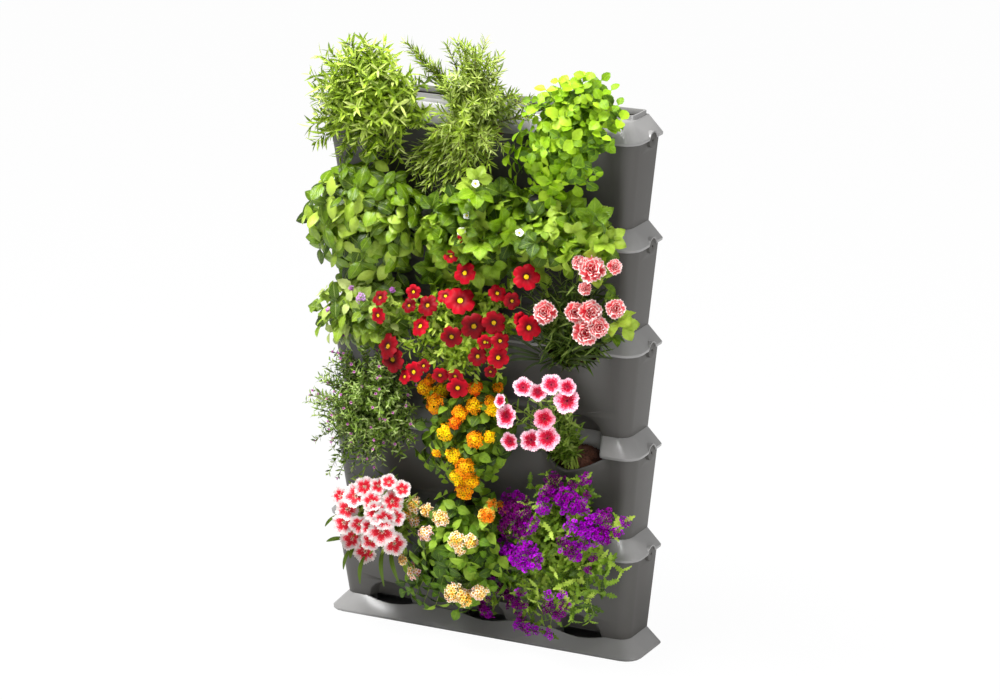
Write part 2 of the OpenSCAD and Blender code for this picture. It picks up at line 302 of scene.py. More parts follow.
def moulded_shell(node, body, finish):
    """Stands for a packed shell: its facets shade as one curve, and its edges are softened."""
    shell = bpy.data.objects.new(f"moulded_{node}", plain_copy(node))
    bpy.context.scene.collection.objects.link(shell)
    soften = shell.modifiers.new("soft_edges", "BEVEL")
    soften.width = EDGE_MM * MM
    soften.segments = 2
    soften.limit_method = "ANGLE"
    soften.angle_limit = SHARP_ANGLE
    graph = bpy.context.evaluated_depsgraph_get()
    softened = bpy.data.meshes.new_from_object(shell.evaluated_get(graph))
    shell.modifiers.clear()
    shell.data = softened
    softened.shade_smooth()
    softened.set_sharp_from_angle(angle=SHARP_ANGLE)
    softened.materials.clear()
    softened.materials.append(finish)
    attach(shell, body)
    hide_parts(node)


for tier in TIERS:
    moulded_shell(f"trough_{tier}", f"tier_{tier}", trough_plastic)
    moulded_shell(f"collar_{tier}", f"tier_{tier}", painted_lit_plastic)
    moulded_shell(f"drain_plate_{tier}", f"tier_{tier}", trough_plastic)
# The drip tray takes the collars' lighter grey, which is painted light for its upward-facing slope.
moulded_shell("drip_tray", "base", painted_lit_plastic)
print("dressed", 3 * len(TIERS) + 1, "plastic shells")

# %% [markdown]
# Plants are made of one small thing repeated many times along stems, which is what Geometry
# Nodes are for. Two node trees do all the growing. The first takes stems drawn as chains of
# edges, gives them thickness and sets a whorl of leaves at every step along them, each
# turned on from the last. The second sets a flower on every point it is given, facing the
# way that the point's aim says.

# %% Helpers that start and run a node tree
def start_tree(name, inputs):
    """A Geometry Nodes tree with a geometry in and out and the named inputs."""
    tree = bpy.data.node_groups.new(name, "GeometryNodeTree")
    face = tree.interface
    face.new_socket("Geometry", in_out="INPUT", socket_type="NodeSocketGeometry")
    for label, (kind, value) in inputs.items():
        socket = face.new_socket(label, in_out="INPUT", socket_type=kind)
        if value is not None:
            socket.default_value = value
    face.new_socket("Geometry", in_out="OUTPUT", socket_type="NodeSocketGeometry")
    return tree, add(tree, "NodeGroupInput").outputs, add(tree, "NodeGroupOutput").inputs


def run_tree(name, mesh, tree, values):
    """Runs the tree on a mesh and returns the result as an object with a plain mesh."""
    host = bpy.data.objects.new(name, mesh)
    bpy.context.scene.collection.objects.link(host)
    modifier = host.modifiers.new("grow", "NODES")
    modifier.node_group = tree
    for item in tree.interface.items_tree:
        if item.in_out == "INPUT" and item.name in values:
            modifier[item.identifier] = values[item.name]
    graph = bpy.context.evaluated_depsgraph_get()
    plain = bpy.data.meshes.new_from_object(host.evaluated_get(graph))
    host.modifiers.clear()
    host.data = plain
    plain.name = name
    return host


def chance(tree, low, high, seed, step):
    """A random value for each element; step keeps two draws with one seed apart."""
    own_seed = add(tree, "ShaderNodeMath", {0: seed, 1: float(step)}, operation="ADD")
    made = add(tree, "FunctionNodeRandomValue", {2: low, 3: high, 8: own_seed}, data_type="FLOAT")
    return made.outputs[1]


print("tree helpers ready")

# %% Tree 1: stems with whorls of leaves
FLOAT, WHOLE, THING = "NodeSocketFloat", "NodeSocketInt", "NodeSocketObject"
PAINT = "NodeSocketMaterial"
STEM_SIDES = 5
STEM_TIP_SHARE = 0.4
LIGHT_SIDE = (0.25, -0.7, 0.65)
TURN_STRAY = 0.35

leafy_stems, given, result = start_tree("leafy_stems", {
    "Whorl": (THING, None), "Spacing": (FLOAT, 0.01), "Turn": (FLOAT, 2.4), "Tilt": (FLOAT, 0.3),
    "Smallest": (FLOAT, 0.7), "Largest": (FLOAT, 1.1), "Bare": (FLOAT, 0.1), "Tip Size": (FLOAT, 0.5),
    "Stem Radius": (FLOAT, 0.001), "Seek Light": (FLOAT, 0.8), "Seed": (WHOLE, 1),
    "Leaf Paint": (PAINT, None), "Stem Paint": (PAINT, None),
})
tree = leafy_stems
seed = given["Seed"]

# The stems: tubes along the lines, thinner towards their tips.
lines = add(tree, "GeometryNodeMeshToCurve", {"Mesh": given["Geometry"]})
along = add(tree, "GeometryNodeSplineParameter").outputs["Factor"]
taper = add(tree, "ShaderNodeMapRange", {"Value": along, "To Min": 1.0, "To Max": STEM_TIP_SHARE})
thinner = add(tree, "ShaderNodeMath", {0: given["Stem Radius"], 1: taper}, operation="MULTIPLY")
ring = add(tree, "GeometryNodeCurvePrimitiveCircle", {"Resolution": STEM_SIDES, "Radius": 1.0})
tubes = add(tree, "GeometryNodeCurveToMesh", {
    "Curve": lines, "Profile Curve": ring, "Scale": thinner, "Fill Caps": True})
stems = add(tree, "GeometryNodeSetMaterial", {"Geometry": tubes, "Material": given["Stem Paint"]})

# The places of the whorls, and which way they grow: along the stem, and towards the light.
steps = add(tree, "GeometryNodeResampleCurve", {"Curve": lines, "Length": given["Spacing"]},
            mode="LENGTH")
leafy = add(tree, "FunctionNodeCompare", {0: along, 1: given["Bare"]}, operation="GREATER_EQUAL")
tangent = add(tree, "GeometryNodeInputTangent")
pull = add(tree, "ShaderNodeVectorMath", {0: LIGHT_SIDE, "Scale": given["Seek Light"]}, operation="SCALE")
sought = add(tree, "ShaderNodeVectorMath", {0: tangent, 1: pull}, operation="ADD")
upright = add(tree, "FunctionNodeAlignRotationToVector", {"Vector": sought}, axis="Z")

# Each whorl is turned on from the last, leans a little by chance, and is smaller near the tip.
count = add(tree, "GeometryNodeInputIndex")
stray = chance(tree, -TURN_STRAY, TURN_STRAY, seed, 1)
spin = add(tree, "ShaderNodeMath", {0: count, 1: given["Turn"], 2: stray}, operation="MULTIPLY_ADD")
turn = add(tree, "FunctionNodeAxisAngleToRotation", {"Axis": (0, 0, 1), "Angle": spin})
lean_x, lean_y = (
    add(tree, "ShaderNodeMath", {0: given["Tilt"], 1: chance(tree, -1.0, 1.0, seed, step)},
        operation="MULTIPLY")
    for step in (2, 3))
lean_angles = add(tree, "ShaderNodeCombineXYZ", {0: lean_x, 1: lean_y})
lean = add(tree, "FunctionNodeEulerToRotation", {0: lean_angles})
turned = add(tree, "FunctionNodeRotateRotation", {0: upright, 1: turn}, rotation_space="LOCAL")
leaned = add(tree, "FunctionNodeRotateRotation", {0: turned, 1: lean}, rotation_space="LOCAL")
near_tip = add(tree, "ShaderNodeMath", {0: along, 1: 3.0}, operation="POWER")
tip_scale = add(tree, "ShaderNodeMapRange", {
    "Value": near_tip, "To Min": 1.0, "To Max": given["Tip Size"]})
own_size = chance(tree, given["Smallest"], given["Largest"], seed, 4)
scale = add(tree, "ShaderNodeMath", {0: tip_scale, 1: own_size}, operation="MULTIPLY")

# The leaves: one whorl on each place, with a tint of its own for the finish to read.
whorl = add(tree, "GeometryNodeObjectInfo", {"Object": given["Whorl"], "As Instance": True})
set_out = add(tree, "GeometryNodeInstanceOnPoints", {
    "Points": steps, "Selection": leafy, "Instance": whorl.outputs["Geometry"],
    "Rotation": leaned, "Scale": scale})
tinted = add(tree, "GeometryNodeStoreNamedAttribute", {
    "Geometry": set_out, "Name": "tint", "Value": chance(tree, 0.0, 1.0, seed, 5)},
    data_type="FLOAT", domain="INSTANCE")
real = add(tree, "GeometryNodeRealizeInstances", {"Geometry": tinted})
leaves = add(tree, "GeometryNodeSetMaterial", {"Geometry": real, "Material": given["Leaf Paint"]})
joined = add(tree, "GeometryNodeJoinGeometry")
tree.links.new(leaves.outputs[0], joined.inputs[0])
tree.links.new(stems.outputs[0], joined.inputs[0])
tree.links.new(joined.outputs[0], result["Geometry"])
print("leafy_stems:", len(tree.nodes), "nodes")

# %% Tree 2: a flower on each point
flower_spots, given, result = start_tree("flower_spots", {
    "Flower": (THING, None), "Smallest": (FLOAT, 0.85), "Largest": (FLOAT, 1.1),
    "Tilt": (FLOAT, 0.25), "Seed": (WHOLE, 1), "Paint": (PAINT, None),
})
tree = flower_spots
seed = given["Seed"]
aim = add(tree, "GeometryNodeInputNamedAttribute", {"Name": "aim"}, data_type="FLOAT_VECTOR")
faced = add(tree, "FunctionNodeAlignRotationToVector", {"Vector": aim}, axis="Z")
lean_x, lean_y = (
    add(tree, "ShaderNodeMath", {0: given["Tilt"], 1: chance(tree, -1.0, 1.0, seed, step)},
        operation="MULTIPLY")
    for step in (1, 2))
spin = chance(tree, 0.0, 2 * math.pi, seed, 3)
angles = add(tree, "ShaderNodeCombineXYZ", {0: lean_x, 1: lean_y, 2: spin})
lean = add(tree, "FunctionNodeEulerToRotation", {0: angles})
turned = add(tree, "FunctionNodeRotateRotation", {0: faced, 1: lean}, rotation_space="LOCAL")
size = add(tree, "GeometryNodeInputNamedAttribute", {"Name": "size"}, data_type="FLOAT")
own_size = chance(tree, given["Smallest"], given["Largest"], seed, 4)
scale = add(tree, "ShaderNodeMath", {0: size, 1: own_size}, operation="MULTIPLY")
flower = add(tree, "GeometryNodeObjectInfo", {"Object": given["Flower"], "As Instance": True})
set_out = add(tree, "GeometryNodeInstanceOnPoints", {
    "Points": given["Geometry"], "Instance": flower.outputs["Geometry"],
    "Rotation": turned, "Scale": scale})
real = add(tree, "GeometryNodeRealizeInstances", {"Geometry": set_out})
painted = add(tree, "GeometryNodeSetMaterial", {"Geometry": real, "Material": given["Paint"]})
tree.links.new(painted.outputs[0], result["Geometry"])
print("flower_spots:", len(tree.nodes), "nodes")

# %% [markdown]
# A leaf is drawn once for each kind of plant. It is a grid of a few faces: rows from its
# base to its tip, five points across. One curve gives its outline, and three numbers bend
# it: fold lifts or drops its edges, droop bends its tip down, and teeth cut its margin. Its
# UV map runs across and along it, so that a finish can draw the veins.

# %% Draw a leaf and gather leaves into whorls
FIRST_ROW = 0.15
NARROWEST = 0.03


def leaf_parts(length_mm, width_mm, rows=6, columns=4, widest=0.42, blunt=0.75, fold=0.2, droop=0.2,
               teeth=0.0, stalk_mm=0.0):
    """Points, faces and UVs of one leaf, from its base at the origin along +Y, face up.

    widest is how far along the leaf is widest, and blunt rounds or points its two ends."""
    length, width, stalk = (size * MM for size in (length_mm, width_mm, stalk_mm))
    power = math.log(0.5) / math.log(widest)
    points, uvs, faces = [], [], []
    shares = [0.0] + [(i + FIRST_ROW) / (rows - 1 + FIRST_ROW) for i in range(rows)]
    for row, t in enumerate(shares):
        half = 0.5 * width * max(math.sin(math.pi * min(t, 1.0) ** power), 0.0) ** blunt
        half = max(half * (1 + teeth * (row % 2)), NARROWEST * width)
        y = 0.0 if row == 0 else stalk + t * length
        for column in range(columns + 1):
            across = 2 * column / columns - 1
            z = fold * half * abs(across) ** 1.5 - droop * length * t * t
            points.append(Vector((across * half, y, z)))
            uvs.append((0.5 + 0.5 * across, t))
    size = columns + 1
    for row in range(len(shares) - 1):
        for i in range(size - 1):
            a = row * size + i
            faces.append((a, a + 1, a + size + 1, a + size))
    return points, faces, uvs


def turned_parts(parts, matrix):
    points, faces, uvs = parts
    return [matrix @ point for point in points], faces, uvs


def source_object(name, several):
    """One hidden object from several lots of points, faces and UVs."""
    points, faces, uvs = [], [], []
    for own_points, own_faces, own_uvs in several:
        first = len(points)
        points += own_points
        uvs += own_uvs
        faces += [tuple(first + i for i in face) for face in own_faces]
    mesh = bpy.data.meshes.new(name)
    mesh.from_pydata(points, [], faces)
    layer = mesh.uv_layers.new(name="surface")
    for loop in mesh.loops:
        layer.data[loop.index].uv = uvs[loop.vertex_index]
    mesh.shade_smooth()
    made = bpy.data.objects.new(name, mesh)
    bpy.context.scene.collection.objects.link(made)
    sources.append(made)
    return made


def whorl_of(name, leaf, leaves, lift):
    """Leaves round a stem, lifted from level towards its tip by an angle in degrees."""
    lifted = Matrix.Rotation(math.radians(lift), 4, "X")
    several = []
    for i in range(leaves):
        spin = Matrix.Rotation(2 * math.pi * i / leaves, 4, "Z")
        several.append(turned_parts(leaf, spin @ lifted))
    return source_object(name, several)


sources = []
print("a leaf of 6 rows has", len(leaf_parts(40, 20)[1]), "faces")

# %% [markdown]
# Leaves are painted by three things: a tint that differs from leaf to leaf, a slow change
# along the leaf, and the veins. The midrib and side veins are paler and lie in shallow
# grooves, which a bump gives. The skin of a leaf is waxy, so it has a soft gloss. A leaf is
# also thin enough to let a fifth of the light through, which brightens a shaded clump.

# %% Make the leaf and stem finishes
LIGHT_THROUGH_LEAF = 0.22
LEAF_MOTTLE_MM = 7
TINT_SHARE, MOTTLE_SHARE = 0.7, 0.35
VEIN_DEPTH_MM = 0.4
MIDRIB_HALF_SHARE = 0.035
SIDE_VEINS = 7.0
VEIN_SLANT = 0.9
VEIN_EDGE = 0.93
SIDE_VEIN_SHARE = 0.6
STEM_FIBRE_MM = 3.3


def waxy_leaf(name, dark, middle, light, roughness=0.42, shine=0.35, vein_share=0.35, relief=0.5):
    """A leaf's finish from three greens; vein_share is how pale its veins are."""
    finish, tree, shader = new_finish(name, roughness, Specular_IOR_Level=shine)
    tint = add(tree, "ShaderNodeAttribute", attribute_name="tint").outputs["Fac"]
    place = add(tree, "ShaderNodeTexCoord").outputs["Object"]
    mottle = add(tree, "ShaderNodeTexNoise", {
        "Vector": place, "Scale": 1 / (LEAF_MOTTLE_MM * MM), "Detail": 3.0}).outputs["Fac"]
    faint = add(tree, "ShaderNodeMath", {0: mottle, 1: MOTTLE_SHARE}, operation="MULTIPLY")
    shade = add(tree, "ShaderNodeMath", {0: tint, 1: TINT_SHARE, 2: faint}, operation="MULTIPLY_ADD")
    base = add(tree, "ShaderNodeValToRGB", {"Fac": shade},
               stops=((0.22, dark), (0.55, middle), (0.85, light)))

    # The veins: a midrib where the UV is in the middle, and slanted lines out from it.
    surface = add(tree, "ShaderNodeUVMap", uv_map="surface")
    split = add(tree, "ShaderNodeSeparateXYZ", {0: surface})
    across = add(tree, "ShaderNodeMath", {0: split.outputs[0], 1: 0.5}, operation="SUBTRACT")
    side = add(tree, "ShaderNodeMath", {0: across}, operation="ABSOLUTE")
    midrib = add(tree, "ShaderNodeMath", {0: side, 1: MIDRIB_HALF_SHARE}, operation="LESS_THAN")
    slant = add(tree, "ShaderNodeMath", {0: side, 1: -VEIN_SLANT, 2: split.outputs[1]},
                operation="MULTIPLY_ADD")
    phase = add(tree, "ShaderNodeMath", {0: slant, 1: SIDE_VEINS * 2 * math.pi}, operation="MULTIPLY")
    wave = add(tree, "ShaderNodeMath", {0: phase}, operation="SINE")
    rib = add(tree, "ShaderNodeMath", {0: wave, 1: VEIN_EDGE}, operation="GREATER_THAN")
    fainter = add(tree, "ShaderNodeMath", {0: rib, 1: SIDE_VEIN_SHARE}, operation="MULTIPLY")
    vein = add(tree, "ShaderNodeMath", {0: midrib, 1: fainter}, operation="MAXIMUM")
    amount = add(tree, "ShaderNodeMath", {0: vein, 1: vein_share}, operation="MULTIPLY")
    mixed = add(tree, "ShaderNodeMix", {0: amount, 6: base, 7: colour(light)}, data_type="RGBA")
    tree.links.new(mixed.outputs[2], shader.inputs["Base Color"])

    # The blade puffs up between its veins.
    blade = add(tree, "ShaderNodeMath", {0: wave, 1: -0.5}, operation="MULTIPLY")
    puff = add(tree, "ShaderNodeMath", {0: blade, 1: vein}, operation="SUBTRACT")
    groove = add(tree, "ShaderNodeBump", {
        "Height": puff, "Distance": VEIN_DEPTH_MM * MM, "Strength": relief})
    tree.links.new(groove.outputs["Normal"], shader.inputs["Normal"])

    through = add(tree, "ShaderNodeBsdfTranslucent", {"Color": mixed.outputs[2]})
    thin = add(tree, "ShaderNodeMixShader", {0: LIGHT_THROUGH_LEAF, 1: shader, 2: through})
    tree.links.new(thin.outputs[0], tree.nodes["Material Output"].inputs["Surface"])
    return finish


def green_stem(name, code):
    """A stem's finish: one colour with fibres in it."""
    finish, tree, shader = new_finish(name, 0.5)
    place = add(tree, "ShaderNodeTexCoord").outputs["Object"]
    fibres = add(tree, "ShaderNodeTexNoise", {
        "Vector": place, "Scale": 1 / (STEM_FIBRE_MM * MM), "Detail": 2.0}).outputs["Fac"]
    shade = add(tree, "ShaderNodeValToRGB", {"Fac": fibres}, stops=((0.35, "#d5d5d5"), (0.65, WHITE)))
    mixed = add(tree, "ShaderNodeMix", {0: 1.0, 6: colour(code), 7: shade},
                data_type="RGBA", blend_type="MULTIPLY")
    tree.links.new(mixed.outputs[2], shader.inputs["Base Color"])
    return finish


young_stem = green_stem("young_stem", "#8fa63a")
woody_stem = green_stem("woody_stem", "#6e5a2c")
print("stem finishes ready")

# %% [markdown]
# A plant's stems start together in the soil of the pocket and spread like a fountain. Their
# tips fill a dome in front of the pocket, evenly, because each next tip turns by the golden
# angle. Each stem is one bent line: from the soil up through the mouth of the pocket, over
# its rim, and out to the tip, so none passes through the plastic. A stem that carries a
# flower ends behind the flower's tube, so that no leaf at its tip pokes through the petals.
# The long leaves of a dianthus hang free of any stem, and are drawn as single ribbons.

# %% Draw the stems of a plant
GOLDEN = math.pi * (3 - math.sqrt(5))
STEM_POINTS = 9
SOIL_DOWN_MM = 26
CROWN_MM = 13
CROWN_FORWARD_MM = 4
HIGH_TIP_MM = 10
OVER_RIM_MM = 26
DOME_RIM = 0.35
QUARTER_TURN = 1.57


def dome_tips(count, left, right, low, high, reach, wobble, rng):
    """Tips as (across, height, depth) in mm from the pocket's middle, filling a dome."""
    middle_x, middle_z = (left + right) / 2, (low + high) / 2
    tips = []
    for i in range(count):
        share = math.sqrt((i + 0.5) / count)
        angle = i * GOLDEN
        x = middle_x + share * (right - left) / 2 * math.cos(angle)
        z = middle_z + share * (high - low) / 2 * math.sin(angle)
        bulge = DOME_RIM + (1 - DOME_RIM) * math.sqrt(1 - share**2 * 0.95)
        depth = reach * bulge * rng.uniform(0.8, 1.05)
        tips.append((x + rng.uniform(-wobble, wobble), z + rng.uniform(-wobble, wobble), depth))
    return tips


def stem_to(middle, tip, rng):
    """Points of one stem from the soil of the pocket to a tip given in mm.

    A stem to a high tip bends up at once, and one that hangs bends over the rim first."""
    x, z, depth = tip
    swing = rng.uniform(0, 2 * math.pi)
    root_y = CROWN_MM * math.sin(swing) - CROWN_FORWARD_MM
    root = Vector((CROWN_MM * math.cos(swing), root_y, -SOIL_DOWN_MM)) * MM
    end = Vector((x, -depth, z)) * MM
    if z > HIGH_TIP_MM:
        bend = Vector((0.25 * x, -0.35 * depth, 0.55 * z)) * MM
    else:
        bend = Vector((0.45 * x, -0.75 * depth, OVER_RIM_MM + 0.1 * z)) * MM
    points = []
    for i in range(STEM_POINTS):
        t = i / (STEM_POINTS - 1)
        points.append(middle + root * (1 - t) ** 2 + bend * 2 * t * (1 - t) + end * t**2)
    return points


def chain_mesh(name, chains):
    """Chains of edges, one for each stem."""
    points, edges = [], []
    for chain in chains:
        first = len(points)
        points += chain
        edges += [(first + i, first + i + 1) for i in range(len(chain) - 1)]
    mesh = bpy.data.meshes.new(name)
    mesh.from_pydata(points, edges, [])
    return mesh


def spot_mesh(name, spots):
    """Points for the flowers, each with its attributes; spots are (place, aim, size, tint)."""
    places, aims, sizes, tints = zip(*spots)
    mesh = bpy.data.meshes.new(name)
    mesh.from_pydata(places, [], [])
    mesh.attributes.new("aim", "FLOAT_VECTOR", "POINT")
    mesh.attributes["aim"].data.foreach_set("vector", [value for aim in aims for value in aim])
    for label, values in (("size", sizes), ("tint", tints)):
        mesh.attributes.new(label, "FLOAT", "POINT")
        mesh.attributes[label].data.foreach_set("value", values)
    return mesh


print("golden angle", round(math.degrees(GOLDEN), 1), "degrees")

# %% Helpers that place tips and grow a plant
RIM_SHARE = 0.3
ROUNDNESS = 0.9
SIGHT_STEPS = 4
RIBBON_ROWS = 7
RIBBON_BASE_MM = 14


def toward_camera(place, depth):
    """Slides a point along its line to the camera until it stands at a depth before the lip."""
    line = CAMERA_PLACE - place
    return place + line * ((FRONT - depth - place.y) / line.y)


class Clump:
    """The rounded space that a plant fills, in mm from its pocket.

    across is its left and right, rise its foot and top, and reach how far it stands out."""

    def __init__(self, node, tier, place, across, rise, reach):
        self.node, self.tier = node, tier
        self.middle = pocket_middle(tier, place)
        self.sides = (*across, *rise)
        self.reach = reach
        self.seed = 10 * tier + place + 2
        self.random = random.Random(self.seed)

    def depth_at(self, x, z):
        """How far the clump bulges before the lip, in mm, at a place across and up."""
        left, right, low, high = self.sides
        across = (2 * x - left - right) / (right - left)
        rise = (2 * z - low - high) / (high - low)
        dome = math.sqrt(max(1 - ROUNDNESS * (across**2 + rise**2), 0))
        return self.reach * (RIM_SHARE + (1 - RIM_SHARE) * dome)

    def on_dome(self, x, z, seen_depth, least=0):
        """The place on the clump's skin that hides (x, z) at seen_depth from the camera.

        least is how far the place stands before the lip at least, among its neighbours' leaves."""
        place = self.middle + Vector((x, -seen_depth, z)) * MM
        for _ in range(SIGHT_STEPS):
            local = (place - self.middle) / MM
            place = toward_camera(place, max(self.depth_at(local.x, local.z), least) * MM)
        return place

    def outward(self, place):
        """Which way the skin faces at a place: mostly forwards, and away from the middle."""
        left, right, low, high = (v * MM for v in self.sides)
        local = place - self.middle
        across = (2 * local.x - left - right) / (right - left)
        rise = (2 * local.z - low - high) / (high - low)
        return Vector((0.7 * across + 0.15, -0.9, 0.5 * rise + 0.25)).normalized()


def grow(clump, whorl, tips, leaf_paint, stem_paint, part="leaves", **growth):
    """Grows leafy stems to the tips and lets them stand for the clump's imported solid."""
    chains = [stem_to(clump.middle, tip, clump.random) for tip in tips]
    values = {"Whorl": whorl, "Leaf Paint": leaf_paint, "Stem Paint": stem_paint, "Seed": clump.seed}
    values.update({name.replace("_", " ").title(): value for name, value in growth.items()})
    name = f"{clump.node}_{part}"
    piece = run_tree(name, chain_mesh(name, chains), leafy_stems, values)
    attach(piece, f"tier_{clump.tier}")
    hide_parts(clump.node)
    print(name, len(piece.data.polygons), "faces")


def bloom(clump, flower, spots, paint, **settings):
    """Sets a flower on each spot; spots are (place, aim, size, tint)."""
    values = {"Flower": flower, "Paint": paint, "Seed": clump.seed}
    values.update({name.replace("_", " ").title(): value for name, value in settings.items()})
    name = f"{clump.node}_flowers"
    piece = run_tree(name, spot_mesh(name, spots), flower_spots, values)
    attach(piece, f"tier_{clump.tier}")
    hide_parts(clump.node)
    print(name, len(piece.data.polygons), "faces")


def ribbon_parts(start, end, width):
    """A strap leaf from start to end that arches out before it hangs, folded along its middle."""
    points, uvs, faces = [], [], []
    along = end - start
    side = Vector((1, 0.1, 0)) if abs(along.z) > abs(along.x) else Vector((0.1, 0, 1))
    arch = Vector((0, -0.16, 0.1)) * along.length
    for row in range(RIBBON_ROWS + 1):
        t = row / RIBBON_ROWS
        half = 0.5 * width * math.sin(math.pi * (0.12 + 0.85 * t)) ** 0.7
        middle = start + along * t + arch * math.sin(math.pi * t)
        for across in (-1, 0, 1):
            crease = Vector((0, 0.3 * half, 0)) * (1 - abs(across))
            points.append(middle + side * half * across + crease)
            uvs.append((0.5 + 0.5 * across, t))
    for row in range(RIBBON_ROWS):
        for i in range(2):
            a = row * 3 + i
            faces.append((a, a + 1, a + 4, a + 3))
    return points, faces, uvs


def straps(clump, part, listed, width_mm, seen_depth, paint):
    """Strap leaves from one place seen in the photograph to another, in mm.

    A strap starts RIBBON_BASE_MM deeper in the plant than it ends."""
    several = []
    for start, end in listed:
        places = [clump.middle + Vector((x, 0, z)) * MM for x, z in (start, end)]
        places = [toward_camera(place - Vector((0, seen_depth * MM, 0)), (seen_depth - less) * MM)
                  for place, less in zip(places, (RIBBON_BASE_MM, 0))]
        several.append(ribbon_parts(*places, width_mm * MM * clump.random.uniform(0.8, 1.1)))
    piece = source_object(f"{clump.node}_{part}", several)
    sources.remove(piece)
    piece.data.materials.append(paint)
    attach(piece, f"tier_{clump.tier}")
    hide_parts(clump.node)
    print(piece.name, len(piece.data.polygons), "faces")


def tips_under(clump, spots, behind=4):
    """Tips for the stems that carry flowers, in mm: behind is how long a flower's tube is."""
    tips = []
    for spot in spots:
        local = (spot[0] - behind * MM * Vector(spot[1]) - clump.middle) / MM
        tips.append((local.x, local.z, -local.y))
    return tips


print("plant helpers ready")

# %% [markdown]
# Potting soil is peat and fine bark: reddish brown, matt, and full of crumbs. Each tier's
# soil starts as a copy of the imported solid, remeshed into small even faces. Its top is then
# heaped up in each pocket towards the niche, as a gardener presses it around a plant, and
# roughened. Crumbs of bark are scattered over it with Geometry Nodes.

# %% Make the soil finish
FINE_CRUMB_MM = 3
DAMP_PATCH_MM = 40
CRUMB_DEPTH_MM = 2
potting_soil, tree, shader = new_finish("potting_soil", 0.95)
place = add(tree, "ShaderNodeTexCoord").outputs["Object"]
crumbs = add(tree, "ShaderNodeTexNoise", {
    "Vector": place, "Scale": 1 / (FINE_CRUMB_MM * MM), "Detail": 5.0}).outputs["Fac"]
damp = add(tree, "ShaderNodeTexNoise", {
    "Vector": place, "Scale": 1 / (DAMP_PATCH_MM * MM), "Detail": 2.0}).outputs["Fac"]
damp_share = add(tree, "ShaderNodeMath", {0: damp, 1: 0.4}, operation="MULTIPLY")
shade = add(tree, "ShaderNodeMath", {0: crumbs, 1: 0.7, 2: damp_share}, operation="MULTIPLY_ADD")
soil_colour = add(tree, "ShaderNodeValToRGB", {"Fac": shade},
                  stops=((0.35, "#24140e"), (0.52, "#4c2b1f"), (0.72, "#643e2e")))
crumbly = add(tree, "ShaderNodeBump", {
    "Height": crumbs, "Distance": CRUMB_DEPTH_MM * MM, "Strength": 0.8})
tree.links.new(soil_colour.outputs["Color"], shader.inputs["Base Color"])
tree.links.new(crumbly.outputs["Normal"], shader.inputs["Normal"])
print("soil finish:", potting_soil.name)

# %% Tree 3: crumbs of bark on the soil
LEVEL_ENOUGH = 0.4

crumb_scatter, given, result = start_tree("crumb_scatter", {
    "Crumb": (THING, None), "Density": (FLOAT, 13000.0), "Seed": (WHOLE, 3), "Paint": (PAINT, None)})
tree = crumb_scatter
seed = given["Seed"]
normal = add(tree, "GeometryNodeInputNormal")
rising = add(tree, "ShaderNodeSeparateXYZ", {0: normal}).outputs[2]
faces_up = add(tree, "FunctionNodeCompare", {0: rising, 1: LEVEL_ENOUGH}, operation="GREATER_THAN")
dots = add(tree, "GeometryNodeDistributePointsOnFaces", {
    "Mesh": given["Geometry"], "Selection": faces_up, "Density": given["Density"], "Seed": seed})
turns = add(tree, "FunctionNodeRandomValue", {1: (2 * math.pi,) * 3, 8: seed},
            data_type="FLOAT_VECTOR")
crumb_shape = add(tree, "GeometryNodeObjectInfo", {"Object": given["Crumb"], "As Instance": True})
scattered = add(tree, "GeometryNodeInstanceOnPoints", {
    "Points": dots, "Instance": crumb_shape.outputs["Geometry"],
    "Rotation": turns, "Scale": chance(tree, 0.35, 1.3, seed, 2)})
real = add(tree, "GeometryNodeRealizeInstances", {"Geometry": scattered})
both = add(tree, "GeometryNodeJoinGeometry")
tree.links.new(real.outputs[0], both.inputs[0])
tree.links.new(given["Geometry"], both.inputs[0])
painted = add(tree, "GeometryNodeSetMaterial", {"Geometry": both, "Material": given["Paint"]})
tree.links.new(painted.outputs[0], result["Geometry"])
print("crumb_scatter:", len(tree.nodes), "nodes")

# %% Fill the troughs with soil
SOIL_MESH = 5 * MM
SKIN_MM = 2
HEAP_HEIGHT = 32 * MM
HEAP_HALF_WIDTH = 44 * MM
HEAP_START_MM = 22
HEAP_RISE_MM = 55
HEAP_END_MM = 62
HEAP_FALL_MM = 10
ROUGH_MM = 1.6
CRUMB_MM = 6.5
SOIL_SEED = 40


def heaped(mesh, tier, rng):
    """Raises the soil's top in the pockets and roughens it.

    The heap rises from before the lip's front line, and falls again behind it."""
    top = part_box(f"soil_{tier}")[1].z
    points = np.empty(len(mesh.vertices) * 3, dtype=np.float32)
    mesh.vertices.foreach_get("co", points)
    points = points.reshape(-1, 3)
    surface = points[:, 2] > top - SKIN_MM * MM
    distance = np.abs(points[:, 0])
    distance = np.minimum(distance, np.abs(distance - POCKET_PITCH))
    over = np.clip(1 - (distance / HEAP_HALF_WIDTH) ** 4, 0, 1)
    back = np.clip((points[:, 1] - (FRONT - HEAP_START_MM * MM)) / (HEAP_RISE_MM * MM), 0, 1)
    behind = np.clip((FRONT + HEAP_END_MM * MM - points[:, 1]) / (HEAP_FALL_MM * MM), 0, 1)
    rough = np.array([rng.uniform(-1, 1) for _ in range(len(points))]) * ROUGH_MM * MM
    lift = HEAP_HEIGHT * over * back**0.8 * behind
    points[surface, 2] += (lift + rough)[surface]
    mesh.vertices.foreach_set("co", points.ravel())
    mesh.update()


